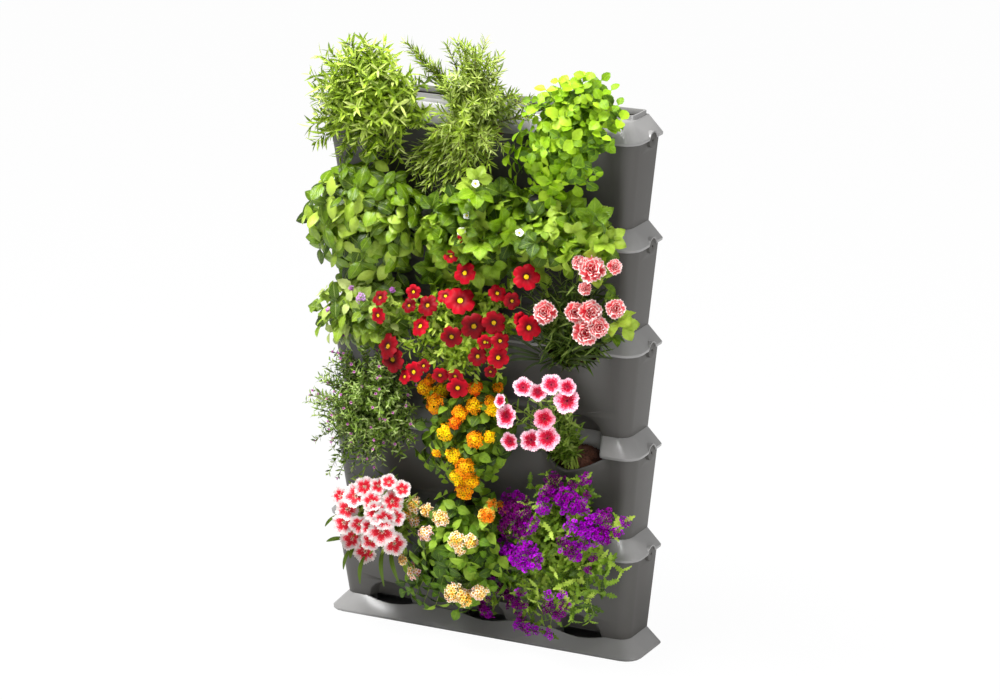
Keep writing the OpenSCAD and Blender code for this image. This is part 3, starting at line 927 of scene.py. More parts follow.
# A crumb is a flat chip with six corners, a top and an underside.
crumb_points = []
for i in range(6):
    angle = math.pi * i / 3
    corner = Vector((math.cos(angle), 0.7 * math.sin(angle), 0.12 * (-1) ** i))
    crumb_points.append(corner * CRUMB_MM / 2 * MM)
crumb_points += [Vector((0, 0, height)) * CRUMB_MM * MM for height in (0.45, -0.3)]
crumb_faces = [(i, (i + 1) % 6, 6) for i in range(6)] + [((i + 1) % 6, i, 7) for i in range(6)]
crumb = source_object("bark_crumb", [(crumb_points, crumb_faces, [(0, 0)] * 8)])

for tier in TIERS:
    name = f"potting_soil_{tier}"
    base = bpy.data.objects.new(name, plain_copy(f"soil_{tier}"))
    bpy.context.scene.collection.objects.link(base)
    remesh = base.modifiers.new("even_faces", "REMESH")
    remesh.mode = "VOXEL"
    remesh.voxel_size = SOIL_MESH
    graph = bpy.context.evaluated_depsgraph_get()
    even = bpy.data.meshes.new_from_object(base.evaluated_get(graph))
    bpy.data.objects.remove(base)
    heaped(even, tier, random.Random(SOIL_SEED + tier))
    soil = run_tree(name, even, crumb_scatter, {"Crumb": crumb, "Seed": tier, "Paint": potting_soil})
    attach(soil, f"tier_{tier}")
    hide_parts(f"soil_{tier}")
    print(name, len(soil.data.polygons), "faces")

# %% [markdown]
# Flowers are drawn as real ones are built, from petals round a centre. A petal is a fan: it
# starts narrow, spreads towards its outer edge, and may be fringed, notched or ruffled
# there. Its UV map runs outwards, so one colour ramp paints the eye, the blotch and the rim.

# %% Draw petals
ROUND_CORNERS = 0.22
LOBES = 5


def petal_parts(inner_mm, outer_mm, spread, rows=3, columns=4, fringe=0.0, notch=0.0, cup=0.0,
                ruffle=0.0, claw=0.35):
    """One petal along +Y, from inner to outer radius; spread is its half angle in degrees.

    claw is how wide its narrow foot is, as a share of its outer edge."""
    inner, outer = inner_mm * MM, outer_mm * MM
    points, uvs, faces = [], [], []
    for row in range(rows + 1):
        t = row / rows
        half = math.radians(spread) * (claw + (1 - claw) * math.sqrt(t))
        for column in range(columns + 1):
            a = 2 * column / columns - 1
            edge = 1 - ROUND_CORNERS * abs(a) ** 2.5 - notch * (1 - abs(a)) ** 2
            edge += fringe * (column % 2) * t
            r = inner + (outer * edge - inner) * t
            z = cup * outer * t * t + ruffle * outer * t * t * math.sin(2.5 * math.pi * a + 1)
            points.append(Vector((r * math.sin(a * half), r * math.cos(a * half), z)))
            uvs.append((0.5 + 0.5 * a, t))
    size = columns + 1
    for row in range(rows):
        for i in range(columns):
            a = row * size + i
            faces.append((a, a + 1, a + size + 1, a + size))
    return points, faces, uvs


def ring_of_petals(count, parts, lift=0.0, start=0.0, height=0.0, stagger=3):
    """Petals round the flower's axis, each lifted towards it by an angle in degrees."""
    several = []
    for i in range(count):
        spin = Matrix.Rotation(2 * math.pi * (i + start) / count, 4, "Z")
        tip = Matrix.Rotation(math.radians(lift + stagger * (i % 2)), 4, "X")
        several.append(turned_parts(parts, Matrix.Translation((0, 0, height)) @ spin @ tip))
    return several


def turned_profile(profile, sides=8, lobes=0.0):
    """A shape turned round the flower's axis, from (radius, height, v) in mm, low to high.

    lobes is how deep the notches between its lobes cut into the rim, which also dips and
    waves there."""
    points, uvs, faces = [], [], []
    for radius_mm, height_mm, v in profile:
        r, z = radius_mm * MM, height_mm * MM
        for i in range(sides):
            angle = 2 * math.pi * i / sides
            notch = lobes * v * v * (1 - abs(math.sin(LOBES * angle / 2))) ** 2.5
            reach = r * (1 - notch)
            wave = 0.4 * lobes * r * v * v * math.sin(2 * LOBES * angle + 1)
            height = z - 0.6 * notch * r + wave
            points.append(Vector((reach * math.cos(angle), reach * math.sin(angle), height)))
            uvs.append((i / sides, v))
    for row in range(len(profile) - 1):
        for i in range(sides):
            a, b = row * sides + i, row * sides + (i + 1) % sides
            faces.append((a, b, b + sides, a + sides))
    return points, faces, uvs


print("a petal has", len(petal_parts(1, 20, 36)[1]), "faces")

# %% [markdown]
# The skin of a petal is made of tiny domed cells, which scatter the light, so it looks
# silky rather than shiny. Its finish is matt, with ridges along the petal for the rows of
# cells, drawn coarser than they are so that they show. Its colours run outwards through a
# colour ramp, and a noise lets them wander a little, as the pigment of a real petal does.

# %% Make the petal finish
PETAL_SHINE = 0.12
CELL_LINES = 40.0
CELL_DEPTH_MM = 0.1


def silky_petal(name, *stops, tint_stops=None, roughness=0.55, shine=PETAL_SHINE, streak=0.25,
                star=0.0, streak_mm=2.0):
    """A petal's finish: stops are its colours from the eye out, and tint_stops those that
    differ from flower to flower.

    star pulls the outer colours in along the petal's two sides, so that an eye becomes a star.
    streak is how far the colours wander along the petal, and streak_mm how wide a patch is."""
    finish, tree, shader = new_finish(name, roughness, Specular_IOR_Level=shine)
    surface = add(tree, "ShaderNodeUVMap", uv_map="surface")
    split = add(tree, "ShaderNodeSeparateXYZ", {0: surface})
    place = add(tree, "ShaderNodeTexCoord").outputs["Object"]
    mottle = add(tree, "ShaderNodeTexNoise", {
        "Vector": place, "Scale": 1 / (streak_mm * MM), "Detail": 2.0}).outputs["Fac"]
    wander = add(tree, "ShaderNodeMath", {0: mottle, 1: streak, 2: -0.5 * streak},
                 operation="MULTIPLY_ADD")
    across = add(tree, "ShaderNodeMath", {0: split.outputs[0], 1: 0.5}, operation="SUBTRACT")
    side = add(tree, "ShaderNodeMath", {0: across, 1: 2.0}, operation="POWER")
    pulled = add(tree, "ShaderNodeMath", {0: side, 1: 4 * star, 2: wander}, operation="MULTIPLY_ADD")
    reached = add(tree, "ShaderNodeMath", {0: split.outputs[1], 1: pulled}, operation="ADD")
    base = add(tree, "ShaderNodeValToRGB", {"Fac": reached}, stops=stops).outputs["Color"]
    if tint_stops:
        tint = add(tree, "ShaderNodeAttribute", attribute_name="tint").outputs["Fac"]
        own = add(tree, "ShaderNodeValToRGB", {"Fac": tint}, stops=tint_stops)
        base = add(tree, "ShaderNodeMix", {0: 1.0, 6: base, 7: own}, data_type="RGBA",
                   blend_type="MULTIPLY").outputs[2]
    tree.links.new(base, shader.inputs["Base Color"])
    phase = add(tree, "ShaderNodeMath", {0: split.outputs[0], 1: CELL_LINES}, operation="MULTIPLY")
    lines = add(tree, "ShaderNodeMath", {0: phase}, operation="SINE")
    ridges = add(tree, "ShaderNodeBump", {
        "Height": lines, "Distance": CELL_DEPTH_MM * MM, "Strength": 0.3})
    tree.links.new(ridges.outputs["Normal"], shader.inputs["Normal"])
    return finish


print("petal finish ready")

# %% [markdown]
# Each plant gets its own space, its own leaf and its own greens. Where the photograph shows
# a flower or a sprig, its place is listed in millimetres from the middle of its pocket's
# lip, across and up, as seen from the camera. The place is then slid along the line of
# sight until it lies on the plant's rounded skin, so that the plant is right from any side.

# %% Helpers for flower places
HEAD_MM = 34
TIP_WOBBLE_MM = 8
INNER_SHARE = 0.6
INNER_REACH = 0.55
HEAD_TOWARD = 0.6
HEAD_FLATNESS = 0.6
TONE_STRAY = 0.15


def facing(clump, place, toward=0.8, wobble=0.3):
    """A flower faces out of its plant, and some way towards the light and the viewer."""
    to_viewer = (CAMERA_PLACE - place).normalized()
    stray = Vector([clump.random.uniform(-wobble, wobble) for _ in range(3)])
    return (clump.outward(place) + toward * to_viewer + stray).normalized()


def flower_places(clump, listed, nominal, seen_depth, proud, least=0):
    """Spots for single flowers from (across, up, width) in mm; nominal is the drawn width."""
    spots = []
    for across, rise, width in listed:
        place = clump.on_dome(across, rise, seen_depth, least)
        aim = facing(clump, place)
        place = place + aim * proud * MM
        spots.append((place, aim, width / nominal, clump.random.random()))
    return spots


def head_places(clump, listed, floret_mm, seen_depth, florets, tone_spread=0.5, cap=75, proud=6,
                uneven=0.14):
    """Spots for the florets of rounded heads from (across, up, width, tone).

    florets is how many a head of HEAD_MM has, and cap how far round the head they go."""
    centres, spots = [], []
    for across, rise, width, tone in listed:
        place = clump.on_dome(across, rise, seen_depth)
        aim = facing(clump, place, HEAD_TOWARD)
        centres.append((place, aim, 1, tone))
        side = aim.cross(Vector((0.1, 0.2, 1))).normalized()
        other = aim.cross(side)
        radius = (width - 0.6 * floret_mm) / 2 * MM
        count = max(4, round(florets * (width / HEAD_MM) ** 2))
        for i in range(count):
            share = math.sqrt((i + 0.5) / count)
            lean = math.radians(cap) * share
            swing = i * GOLDEN
            sideways = side * math.cos(swing) + other * math.sin(swing)
            direction = aim * math.cos(lean) + sideways * math.sin(lean)
            rough = clump.random.uniform(0.96 - uneven, 0.96 + uneven)
            floret = place + aim * proud * MM + (direction * rough - HEAD_FLATNESS * aim) * radius
            tint = tone + tone_spread * (share - 0.5) + clump.random.uniform(-TONE_STRAY, TONE_STRAY)
            spots.append((floret, direction, 1, min(max(tint, 0), 1)))
    return centres, spots


def dome(clump, count, grow_out=1.0, inner=0, lean=0):
    """Tips over the clump's skin, and some inner ones behind them to fill it.

    lean moves the top of the dome to the right and its foot to the left, in mm."""
    left, right, low, high = clump.sides
    tips = dome_tips(count, left + abs(lean), right - abs(lean), low, high, clump.reach * grow_out,
                     TIP_WOBBLE_MM, clump.random)
    tips = [(x + lean * (2 * z - low - high) / (high - low), z, depth) for x, z, depth in tips]
    if inner:
        x, z = (left + right) / 2, (low + high) / 2
        left, right = (x + INNER_SHARE * (side - x) for side in (left, right))
        low, high = (z + INNER_SHARE * (end - z) for end in (low, high))
        tips += dome_tips(inner, left, right, low, high, clump.reach * INNER_REACH, TIP_WOBBLE_MM,
                          clump.random)
    return tips


def seen_tips(clump, listed, seen_depth):
    """Tips from (across, up) places as seen in the photograph."""
    tips = []
    for across, rise in listed:
        local = (clump.on_dome(across, rise, seen_depth) - clump.middle) / MM
        tips.append((local.x, local.z, -local.y))
    return tips


print("place helpers ready")

# %% [markdown]
# The top tier holds three herbs. The left one has narrow bright leaves in threes, the
# middle one is a rosemary with needles in fours on reddish stems, and the right one is an
# oregano with round leaves in pairs.

# %% Grow the bright herb
bright_leaf = waxy_leaf("bright_herb_leaf", "#587408", "#b0d02c", "#deea8c", vein_share=0.2)
blade = leaf_parts(33, 7, rows=4, columns=2, fold=0.35, droop=0.1)
herb_whorl = whorl_of("herb_whorl", blade, leaves=3, lift=42)
bright_herb = Clump("bright_herb", 5, LEFT, (-112, 130), (-50, 150), 95)
HERB_TIPS = [
    (-14, 149), (12, 155), (32, 144), (50, 123), (-23, 126), (-50, 89), (-73, 63), (-66, 31), (-98, -13),
    (-88, -41), (-67, -34), (-37, -62), (-14, -49), (15, -46), (35, -65), (57, -52), (82, -57), (142, 37),
    (133, 15), (108, 67), (82, 97)]
tips = seen_tips(bright_herb, HERB_TIPS, seen_depth=67) + dome(bright_herb, 70, grow_out=0.95, inner=20)
grow(bright_herb, herb_whorl, tips, bright_leaf, young_stem, spacing=8 * MM, bare=0.3,
     stem_radius=1.1 * MM, tip_size=0.75, tilt=0.4, seek_light=0.35)

# %% Grow the rosemary
needle = waxy_leaf("rosemary_needle", "#58720e", "#a8c430", "#d6e48a", vein_share=0.3)
blade = leaf_parts(27, 4.6, rows=3, columns=2, widest=0.5, blunt=0.4, fold=-0.3, droop=0.05)
needle_whorl = whorl_of("needle_whorl", blade, leaves=4, lift=42)
rosemary = Clump("rosemary", 5, MIDDLE, (-66, 116), (-94, 164), 100)
ROSEMARY_TIPS = [
    (-99, 160), (-85, 145), (-71, 130), (-45, 127), (-58, 102), (-15, 162), (5, 169), (19, 164),
    (35, 158), (60, 178), (68, 143), (87, 124), (-28, 91), (83, 88), (117, 87), (144, 79), (151, 52),
    (-94, -54), (-82, -86), (-60, -73), (-32, -117), (-10, -106), (4, -93), (24, -60), (56, -85),
    (70, -18), (-47, 0), (-70, -60), (-50, -92), (-20, -86), (-40, -58), (-88, -70), (-64, -100)]
tips = seen_tips(rosemary, ROSEMARY_TIPS, seen_depth=67)
tips += dome(rosemary, 28, grow_out=0.85, inner=10, lean=15)
grow(rosemary, needle_whorl, tips, needle, woody_stem, spacing=6.5 * MM, bare=0.22, stem_radius=1.2 * MM,
     turn=0.8, tip_size=0.75, tilt=0.3, seek_light=0.2)

# %% Grow the oregano
oregano_leaf = waxy_leaf("oregano_leaf", "#446804", "#8cba0a", "#b4d82c")
blade = leaf_parts(26, 22, rows=9, widest=0.4, blunt=0.55, fold=0.2, droop=0.25,
                   teeth=0.12, stalk_mm=4)
oregano_pair = whorl_of("oregano_pair", blade, leaves=2, lift=20)
oregano = Clump("oregano", 5, RIGHT, (-80, 116), (-106, 126), 95)
OREGANO_TIPS = [
    (58, 133), (89, 129), (8, 119), (-17, 101), (31, 113), (-46, 80), (108, 113), (121, 88), (127, 62),
    (89, 28), (104, 16), (-56, 58), (-68, 22), (-92, -22), (-86, -43), (-57, -31), (-19, -5), (79, -41),
    (60, -54), (37, -29), (-29, -73), (-8, -88), (-84, -70), (-49, -82), (12, -59)]
tips = seen_tips(oregano, OREGANO_TIPS, seen_depth=67)
tips += dome(oregano, 44, grow_out=0.95, inner=14, lean=28)
grow(oregano, oregano_pair, tips, oregano_leaf, young_stem, spacing=15 * MM, bare=0.4, turn=QUARTER_TURN,
     stem_radius=1.0 * MM, tip_size=0.8, tilt=0.5, smallest=0.6, largest=1.15)

# %% [markdown]
# The fourth tier has a basil with big domed leaves in pairs, a strawberry, and a mint. The
# strawberry's leaf is three toothed leaflets on one long stalk, and so is drawn the leaf of
# its neighbour.

# %% Grow the basil
basil_leaf = waxy_leaf("basil_leaf", "#2a4202", "#789e0e", "#b8d24e", roughness=0.26, shine=0.45,
                       relief=1.0)
blade = leaf_parts(45, 31, rows=8, widest=0.42, blunt=0.65, fold=-0.35, droop=0.45,
                   stalk_mm=5)
basil_pair = whorl_of("basil_pair", blade, leaves=2, lift=18)
basil = Clump("basil", 4, LEFT, (-122, 126), (-96, 130), 95)
BASIL_TIPS = [
    (-107, 22), (-97, 3), (-72, 80), (-21, 118), (20, 124), (56, 92), (-67, 0), (-78, -32), (-46, -46),
    (-36, -81), (-22, -104), (6, -55), (57, -58), (67, -88), (89, 9), (118, 43), (105, 61), (39, 51),
    (76, 74), (-3, 28), (59, 33), (-2, 82), (27, -8), (-33, 60), (15, -90), (-54, 54), (84, -37)]
tips = seen_tips(basil, BASIL_TIPS, seen_depth=77) + dome(basil, 34, grow_out=0.85, inner=12)
grow(basil, basil_pair, tips, basil_leaf, young_stem, spacing=16 * MM, bare=0.6, turn=QUARTER_TURN,
     stem_radius=1.6 * MM, tip_size=0.75, tilt=0.5, seek_light=1.3, smallest=0.75, largest=1.1)

# %% Grow the strawberry and the leafy mint
STRAWBERRY_FLOWER_MM = 17


def three_leaflets(name, length_mm, width_mm, stalk_mm):
    """Three toothed leaflets at the end of a stalk, one ahead and one to each side."""
    leaflet = leaf_parts(length_mm, width_mm, rows=15, columns=2, widest=0.52, blunt=0.8, fold=0.35,
                         droop=0.2, teeth=0.16)
    reach = Matrix.Translation((0, stalk_mm * MM, 0))
    turns = [Matrix.Rotation(math.radians(angle), 4, "Z") for angle in (0, 68, -68)]
    several = [turned_parts(leaflet, reach @ turn) for turn in turns]
    several.append(leaf_parts(stalk_mm, 1.6, rows=2, columns=1, blunt=0.1, fold=0, droop=0))
    lifted = Matrix.Rotation(math.radians(32), 4, "X")
    return source_object(name, [turned_parts(parts, lifted) for parts in several])


strawberry_leaf = waxy_leaf("strawberry_leaf", "#3c5c06", "#8cb614", "#c4e050", roughness=0.33, shine=0.5,
                             vein_share=0.3, relief=1.6)
strawberry_spray = three_leaflets("strawberry_spray", 35, 24, 12)
strawberry = Clump("strawberry", 4, MIDDLE, (-70, 110), (-70, 96), 95)
STRAWBERRY_TIPS = [
    (-46, 48), (-15, 68), (5, 90), (35, 90), (-26, 19), (15, 34), (-36, -20), (-6, -34), (34, -20),
    (54, 12), (74, -25), (23, -83), (-47, -84), (-58, 15), (93, 90), (94, 35), (-80, -16), (-17, -73),
    (64, -66)]
STRAWBERRY_FLOWERS = [(50, 115, 17), (43, 85, 17), (34, 57, 17), (26, 25, 17), (133, 35, 16)]
white_spots = flower_places(strawberry, STRAWBERRY_FLOWERS, nominal=STRAWBERRY_FLOWER_MM, seen_depth=87,
                            proud=14, least=88)
tips = seen_tips(strawberry, STRAWBERRY_TIPS, seen_depth=77)
tips += dome(strawberry, 30, grow_out=0.85, inner=12)
tips += tips_under(strawberry, white_spots)
grow(strawberry, strawberry_spray, tips, strawberry_leaf, woody_stem, spacing=18 * MM,
     bare=0.6, stem_radius=0.9 * MM, tip_size=0.95, tilt=0.6, seek_light=1.2)
leafy_mint = Clump("leafy_mint", 4, RIGHT, (-86, 110), (-26, 80), 95)
MINT_TIPS = [
    (-80, 83), (-62, 100), (-42, 85), (-13, 80), (16, 56), (26, 92), (55, 24), (90, 76), (108, 40),
    (94, 20), (65, -2), (16, -17), (-13, -44), (-43, -15), (-80, -46), (-23, 24), (36, 40), (75, 54),
    (-62, 19)]
tips = seen_tips(leafy_mint, MINT_TIPS, seen_depth=77) + dome(leafy_mint, 26, grow_out=0.85, inner=10)
grow(leafy_mint, strawberry_spray, tips, strawberry_leaf, woody_stem, spacing=18 * MM,
     bare=0.6, stem_radius=0.9 * MM, tip_size=0.95, tilt=0.6, seek_light=1.2)

# %% Let the strawberry flower
flower_heart = turned_profile([(0.56, -0.72, 0.0), (2.8, 0, 0.02), (2.24, 1.68, 0.05), (0.28, 2.4, 0.08)])
strawberry_petal = petal_parts(1.5, 8.5, 40, rows=3, columns=4, cup=0.1, claw=0.5)
strawberry_flower = source_object(
    "strawberry_flower", ring_of_petals(5, strawberry_petal, lift=8) + [flower_heart])
white_petal = silky_petal("white_strawberry_petal", (0.0, "#c8b414"), (0.12, "#d8c838"), (0.2, "#f2f2ea"),
                          (1.0, "#ffffff"))
bloom(strawberry, strawberry_flower, white_spots, white_petal)

# %% [markdown]
# The third tier has a small herb with one lilac head, a red calibrachoa, and a double
# dianthus. A calibrachoa flower is a trumpet: a narrow tube that opens into five shallow
# lobes, yellow in the throat. It is one profile turned round its axis, with a wavy rim.

# %% Grow the purple-flowered herb
purple_herb_leaf = waxy_leaf("purple_herb_leaf", "#44600c", "#98b830", "#d2e288", roughness=0.34,
                             relief=0.8)
blade = leaf_parts(36, 23, rows=9, fold=0.2, droop=0.3, teeth=0.12, stalk_mm=4)
purple_herb_pair = whorl_of("purple_herb_pair", blade, leaves=2, lift=22)
purple_herb = Clump("purple_herb", 3, LEFT, (-96, 98), (-15, 92), 80)
PURPLE_HERB_TIPS = [
    (-98, 35), (-85, 5), (-68, -9), (-47, -22), (-7, -17), (23, -9), (36, 9), (-28, 52), (-53, 72),
    (6, 25), (58, 23), (-37, 19), (28, 55), (-72, 22), (-2, 39)]
LILAC_HEADS = [(2, 65, 25, 0.8), (-64, 34, 12, 0.5), (-33, -4, 12, 0.4), (66, 88, 12, 0.4),
               (-17, 82, 12, 0.5)]
centres, lilac_spots = head_places(purple_herb, LILAC_HEADS, floret_mm=7, seen_depth=72, florets=20,
                                   tone_spread=0.2)
tips = seen_tips(purple_herb, PURPLE_HERB_TIPS, seen_depth=67) + tips_under(purple_herb, centres)
tips += dome(purple_herb, 32, grow_out=1.0, inner=12)
grow(purple_herb, purple_herb_pair, tips, purple_herb_leaf, young_stem, spacing=16 * MM, bare=0.4,
     turn=QUARTER_TURN, stem_radius=1.1 * MM, tip_size=0.8, tilt=0.5, seek_light=1.1)

# %% Grow the red calibrachoa
calibrachoa_leaf = waxy_leaf("calibrachoa_leaf", "#56760c", "#accc2a", "#d6e870", vein_share=0.2)
blade = leaf_parts(23, 8.5, rows=4, columns=2, fold=0.3, droop=0.15)
calibrachoa_sprig = whorl_of("calibrachoa_sprig", blade, leaves=2, lift=42)
calibrachoa = Clump("red_calibrachoa", 3, MIDDLE, (-98, 106), (-76, 118), 105)
CALIBRACHOA_FLOWERS = [
    (31, 144, 38), (148, 153, 40), (19, 91, 46), (-43, 75, 38), (-57, 34, 36), (1, 25, 33), (45, 50, 42),
    (87, 61, 33), (136, 74, 27), (152, 60, 42), (97, 30, 26), (52, -5, 28), (92, -2, 38), (-122, -10, 38),
    (-113, -32, 38), (-70, -51, 34), (13, -69, 36), (-20, -48, 26), (-9, 96, 24), (-138, 76, 28),
    (-141, 46, 28), (91, 113, 30), (118, 104, 30), (-79, 71, 22), (1, 170, 22), (30, 204, 24),
    (-53, -37, 24), (-88, -62, 28), (8, -46, 30), (-73, 96, 22), (66, 24, 22), (78, -28, 20)]
CALIBRACHOA_TIPS = [
    (-119, 76), (-132, 54), (-81, 57), (-107, 38), (-56, 6), (-31, -11), (-10, -27), (20, 12), (28, -7),
    (-73, -28), (-43, 54), (-13, 66), (63, 75), (88, 117), (37, 26), (62, 13), (-40, -31), (3, -41),
    (96, 33), (55, 105), (-82, -6), (-98, 63), (-25, 95)]
spots = flower_places(calibrachoa, CALIBRACHOA_FLOWERS, nominal=31, seen_depth=92, proud=11, least=86)
tips = tips_under(calibrachoa, spots, behind=19)
tips += seen_tips(calibrachoa, CALIBRACHOA_TIPS, seen_depth=77)
tips += dome(calibrachoa, 56, grow_out=0.92, inner=20)
grow(calibrachoa, calibrachoa_sprig, tips, calibrachoa_leaf, young_stem, spacing=8 * MM, bare=0.25,
     stem_radius=0.9 * MM, tip_size=0.75, tilt=0.4)
trumpet = [(0.8, -20, 0.0), (1.6, -14, 0.02), (2.2, -4, 0.05), (3.2, -1.2, 0.14), (6, 0.5, 0.35),
           (11, 0.8, 0.6), (15.5, 0.2, 0.85), (18.5, -1.6, 1.0)]
throat = [(3.0, -1.6, 0.1), (1.6, -0.9, 0.12), (0.3, -0.7, 0.13)]
calibrachoa_trumpet = source_object("calibrachoa_trumpet", [
    turned_profile(trumpet, sides=40, lobes=0.24), turned_profile(throat)])
red_trumpet = silky_petal("red_calibrachoa_petal", (0.0, "#ffa800"), (0.135, "#ffd21c"),
                          (0.175, "#300006"), (0.4, "#800010"), (0.7, "#a80018"), (1.0, "#bc0822"),
                          streak=0.12,
                          tint_stops=((0.0, "#a8a0a0"), (0.4, "#f4f4f4"), (1.0, "#ffffff")))
bloom(calibrachoa, calibrachoa_trumpet, spots, red_trumpet)

# %% Grow the double dianthus
grass_leaf = waxy_leaf("dianthus_grass", "#263604", "#4c6810", "#90a654", vein_share=0.15)
blade = leaf_parts(56, 5.5, rows=5, columns=2, widest=0.4, blunt=0.5, fold=0.5, droop=0.25)
grass_pair = whorl_of("grass_pair", blade, leaves=2, lift=48)
double_dianthus = Clump("double_dianthus", 3, RIGHT, (-90, 116), (-15, 160), 80)
DOUBLE_FLOWERS = [
    (74, 173, 36), (115, 183, 22), (51, 184, 20), (-12, 86, 38), (45, 96, 32), (69, 98, 36), (61, 62, 40),
    (87, 75, 28), (117, 113, 28), (64, 142, 20)]
spots = flower_places(double_dianthus, DOUBLE_FLOWERS, nominal=31, seen_depth=77, proud=12, least=84)
tips = tips_under(double_dianthus, spots, behind=15)
tips += dome(double_dianthus, 44, grow_out=0.9, inner=12)
grow(double_dianthus, grass_pair, tips, grass_leaf, young_stem, spacing=16 * MM, bare=0.15,
     turn=QUARTER_TURN, stem_radius=1.1 * MM, tip_size=0.4, tilt=0.4)
outer_petal = petal_parts(2, 20, 34, rows=4, columns=8, fringe=0.1, cup=0.2, ruffle=0.12)
middle_petal = petal_parts(2, 17, 36, rows=3, columns=6, fringe=0.12, cup=0.3, ruffle=0.2)
inner_petal = petal_parts(1, 13, 40, rows=3, columns=6, fringe=0.12, cup=0.4, ruffle=0.25)
double_tube = turned_profile([(1, -16, 0), (3, -12, 0), (3.4, 0, 0), (2, 1, 0)])
double_flower = source_object("double_flower", (
    ring_of_petals(7, outer_petal, lift=2, stagger=14)
    + ring_of_petals(6, middle_petal, lift=24, start=0.5, height=2 * MM, stagger=14)
    + ring_of_petals(5, inner_petal, lift=46, start=0.3, height=3 * MM, stagger=14)
    + [double_tube]))
coral_petal = silky_petal("coral_dianthus_petal", (0.0, "#c43040"), (0.5, "#f04c5c"), (0.8, "#f87c7e"),
                          (0.97, "#fff2ee"), streak=0.5, streak_mm=3.3)
bloom(double_dianthus, double_flower, spots, coral_petal)
LONG_GRASS = [
    ((-30, -4), (-105, -19)), ((-34, 4), (-111, 12)), ((-30, 10), (-86, 34)), ((-26, -6), (-65, -32)),
    ((-20, -8), (-51, -17)), ((-12, -8), (-31, -27)), ((-2, -8), (-15, -21)), ((10, -6), (28, -19)),
    ((24, -2), (68, -3)), ((26, 4), (87, 7)), ((30, 6), (112, 17)), ((28, 12), (97, 40)),
    ((-22, 16), (-70, 55)), ((-14, 20), (-40, 68)), ((24, 16), (77, 46)), ((-32, 0), (-95, -2))]
straps(double_dianthus, "grass", LONG_GRASS, width_mm=6, seen_depth=67, paint=grass_leaf)
SIDE_LEAVES = [(118, 92), (126, 80), (128, 138), (112, 66)]
side_tips = seen_tips(double_dianthus, SIDE_LEAVES, seen_depth=77)
grow(double_dianthus, strawberry_spray, side_tips, strawberry_leaf, young_stem, part="side_leaves",
     spacing=60 * MM, bare=0.9, stem_radius=0.9 * MM, tip_size=0.95, tilt=0.4, seek_light=1.2)

# %% [markdown]
# The second tier has a cuphea with tiny leaves and specks of flowers, an orange lantana,
# and a pink dianthus. A lantana's flower is a rounded head of small four-lobed florets,
# yellow where they have just opened and orange or red further out.

# %% Grow the cuphea
CUPHEA_OUTER = 130
SPECK_PROUD_MM = 3
cuphea_leaf = waxy_leaf("cuphea_leaf", "#2e4606", "#7a9c28", "#c4d888", vein_share=0.15)
blade = leaf_parts(17, 5.5, rows=3, columns=2, fold=0.3, droop=0.1)
cuphea_sprig = whorl_of("cuphea_sprig", blade, leaves=2, lift=40)
cuphea = Clump("cuphea", 2, LEFT, (-120, 116), (-72, 170), 95)
CUPHEA_TIPS = [
    (-108, 60), (-118, 46), (-100, 22), (-101, -27), (-66, -38), (-74, -88), (-54, -93), (-23, -76),
    (4, -60), (22, -25), (-85, 96), (-53, 132), (-36, 150), (-1, 163), (25, 143), (59, 132), (85, 103),
    (110, 67), (101, 34), (109, 4), (74, 7), (49, 35), (-38, 30), (-11, 90), (23, 55), (-65, 19),
    (-22, -15), (-73, 58), (-87, -1), (-49, -60), (33, 112), (67, 77)]
tips = seen_tips(cuphea, CUPHEA_TIPS, seen_depth=72)
tips += dome(cuphea, CUPHEA_OUTER, grow_out=0.95, inner=50)
grow(cuphea, cuphea_sprig, tips, cuphea_leaf, woody_stem, spacing=4.5 * MM, bare=0.45, turn=QUARTER_TURN,
     stem_radius=0.8 * MM, tip_size=0.65, tilt=0.5)
speck_petal = petal_parts(0.4, 3.2, 24, rows=2, columns=2)
speck_tube = turned_profile([(0.5, -5, 0), (0.9, -2, 0), (0.8, 0, 0.1)], 6)
speck = source_object("cuphea_flower", ring_of_petals(6, speck_petal, lift=25) + [speck_tube])
mauve_petal = silky_petal("mauve_cuphea_petal", (0.0, "#6a1850"), (0.4, "#b04aa0"), (1.0, "#d88ad0"))
spots = []
for x, z, depth in tips[:len(CUPHEA_TIPS) + CUPHEA_OUTER:3]:
    place = cuphea.middle + Vector((x, -depth - SPECK_PROUD_MM, z)) * MM
    spots.append((place, facing(cuphea, place, 0.3, 0.5), 1, cuphea.random.random()))
bloom(cuphea, speck, spots, mauve_petal)

# %% Draw a lantana floret
lantana_petal = petal_parts(0.5, 4.4, 40, rows=2, columns=3)
lantana_tube = turned_profile([(0.4, -6, 0.5), (0.6, 0, 0.1)], 5)
lantana_flower = source_object(
    "lantana_floret", ring_of_petals(4, lantana_petal, lift=4) + [lantana_tube])
print("a lantana floret has", len(lantana_flower.data.polygons), "faces")

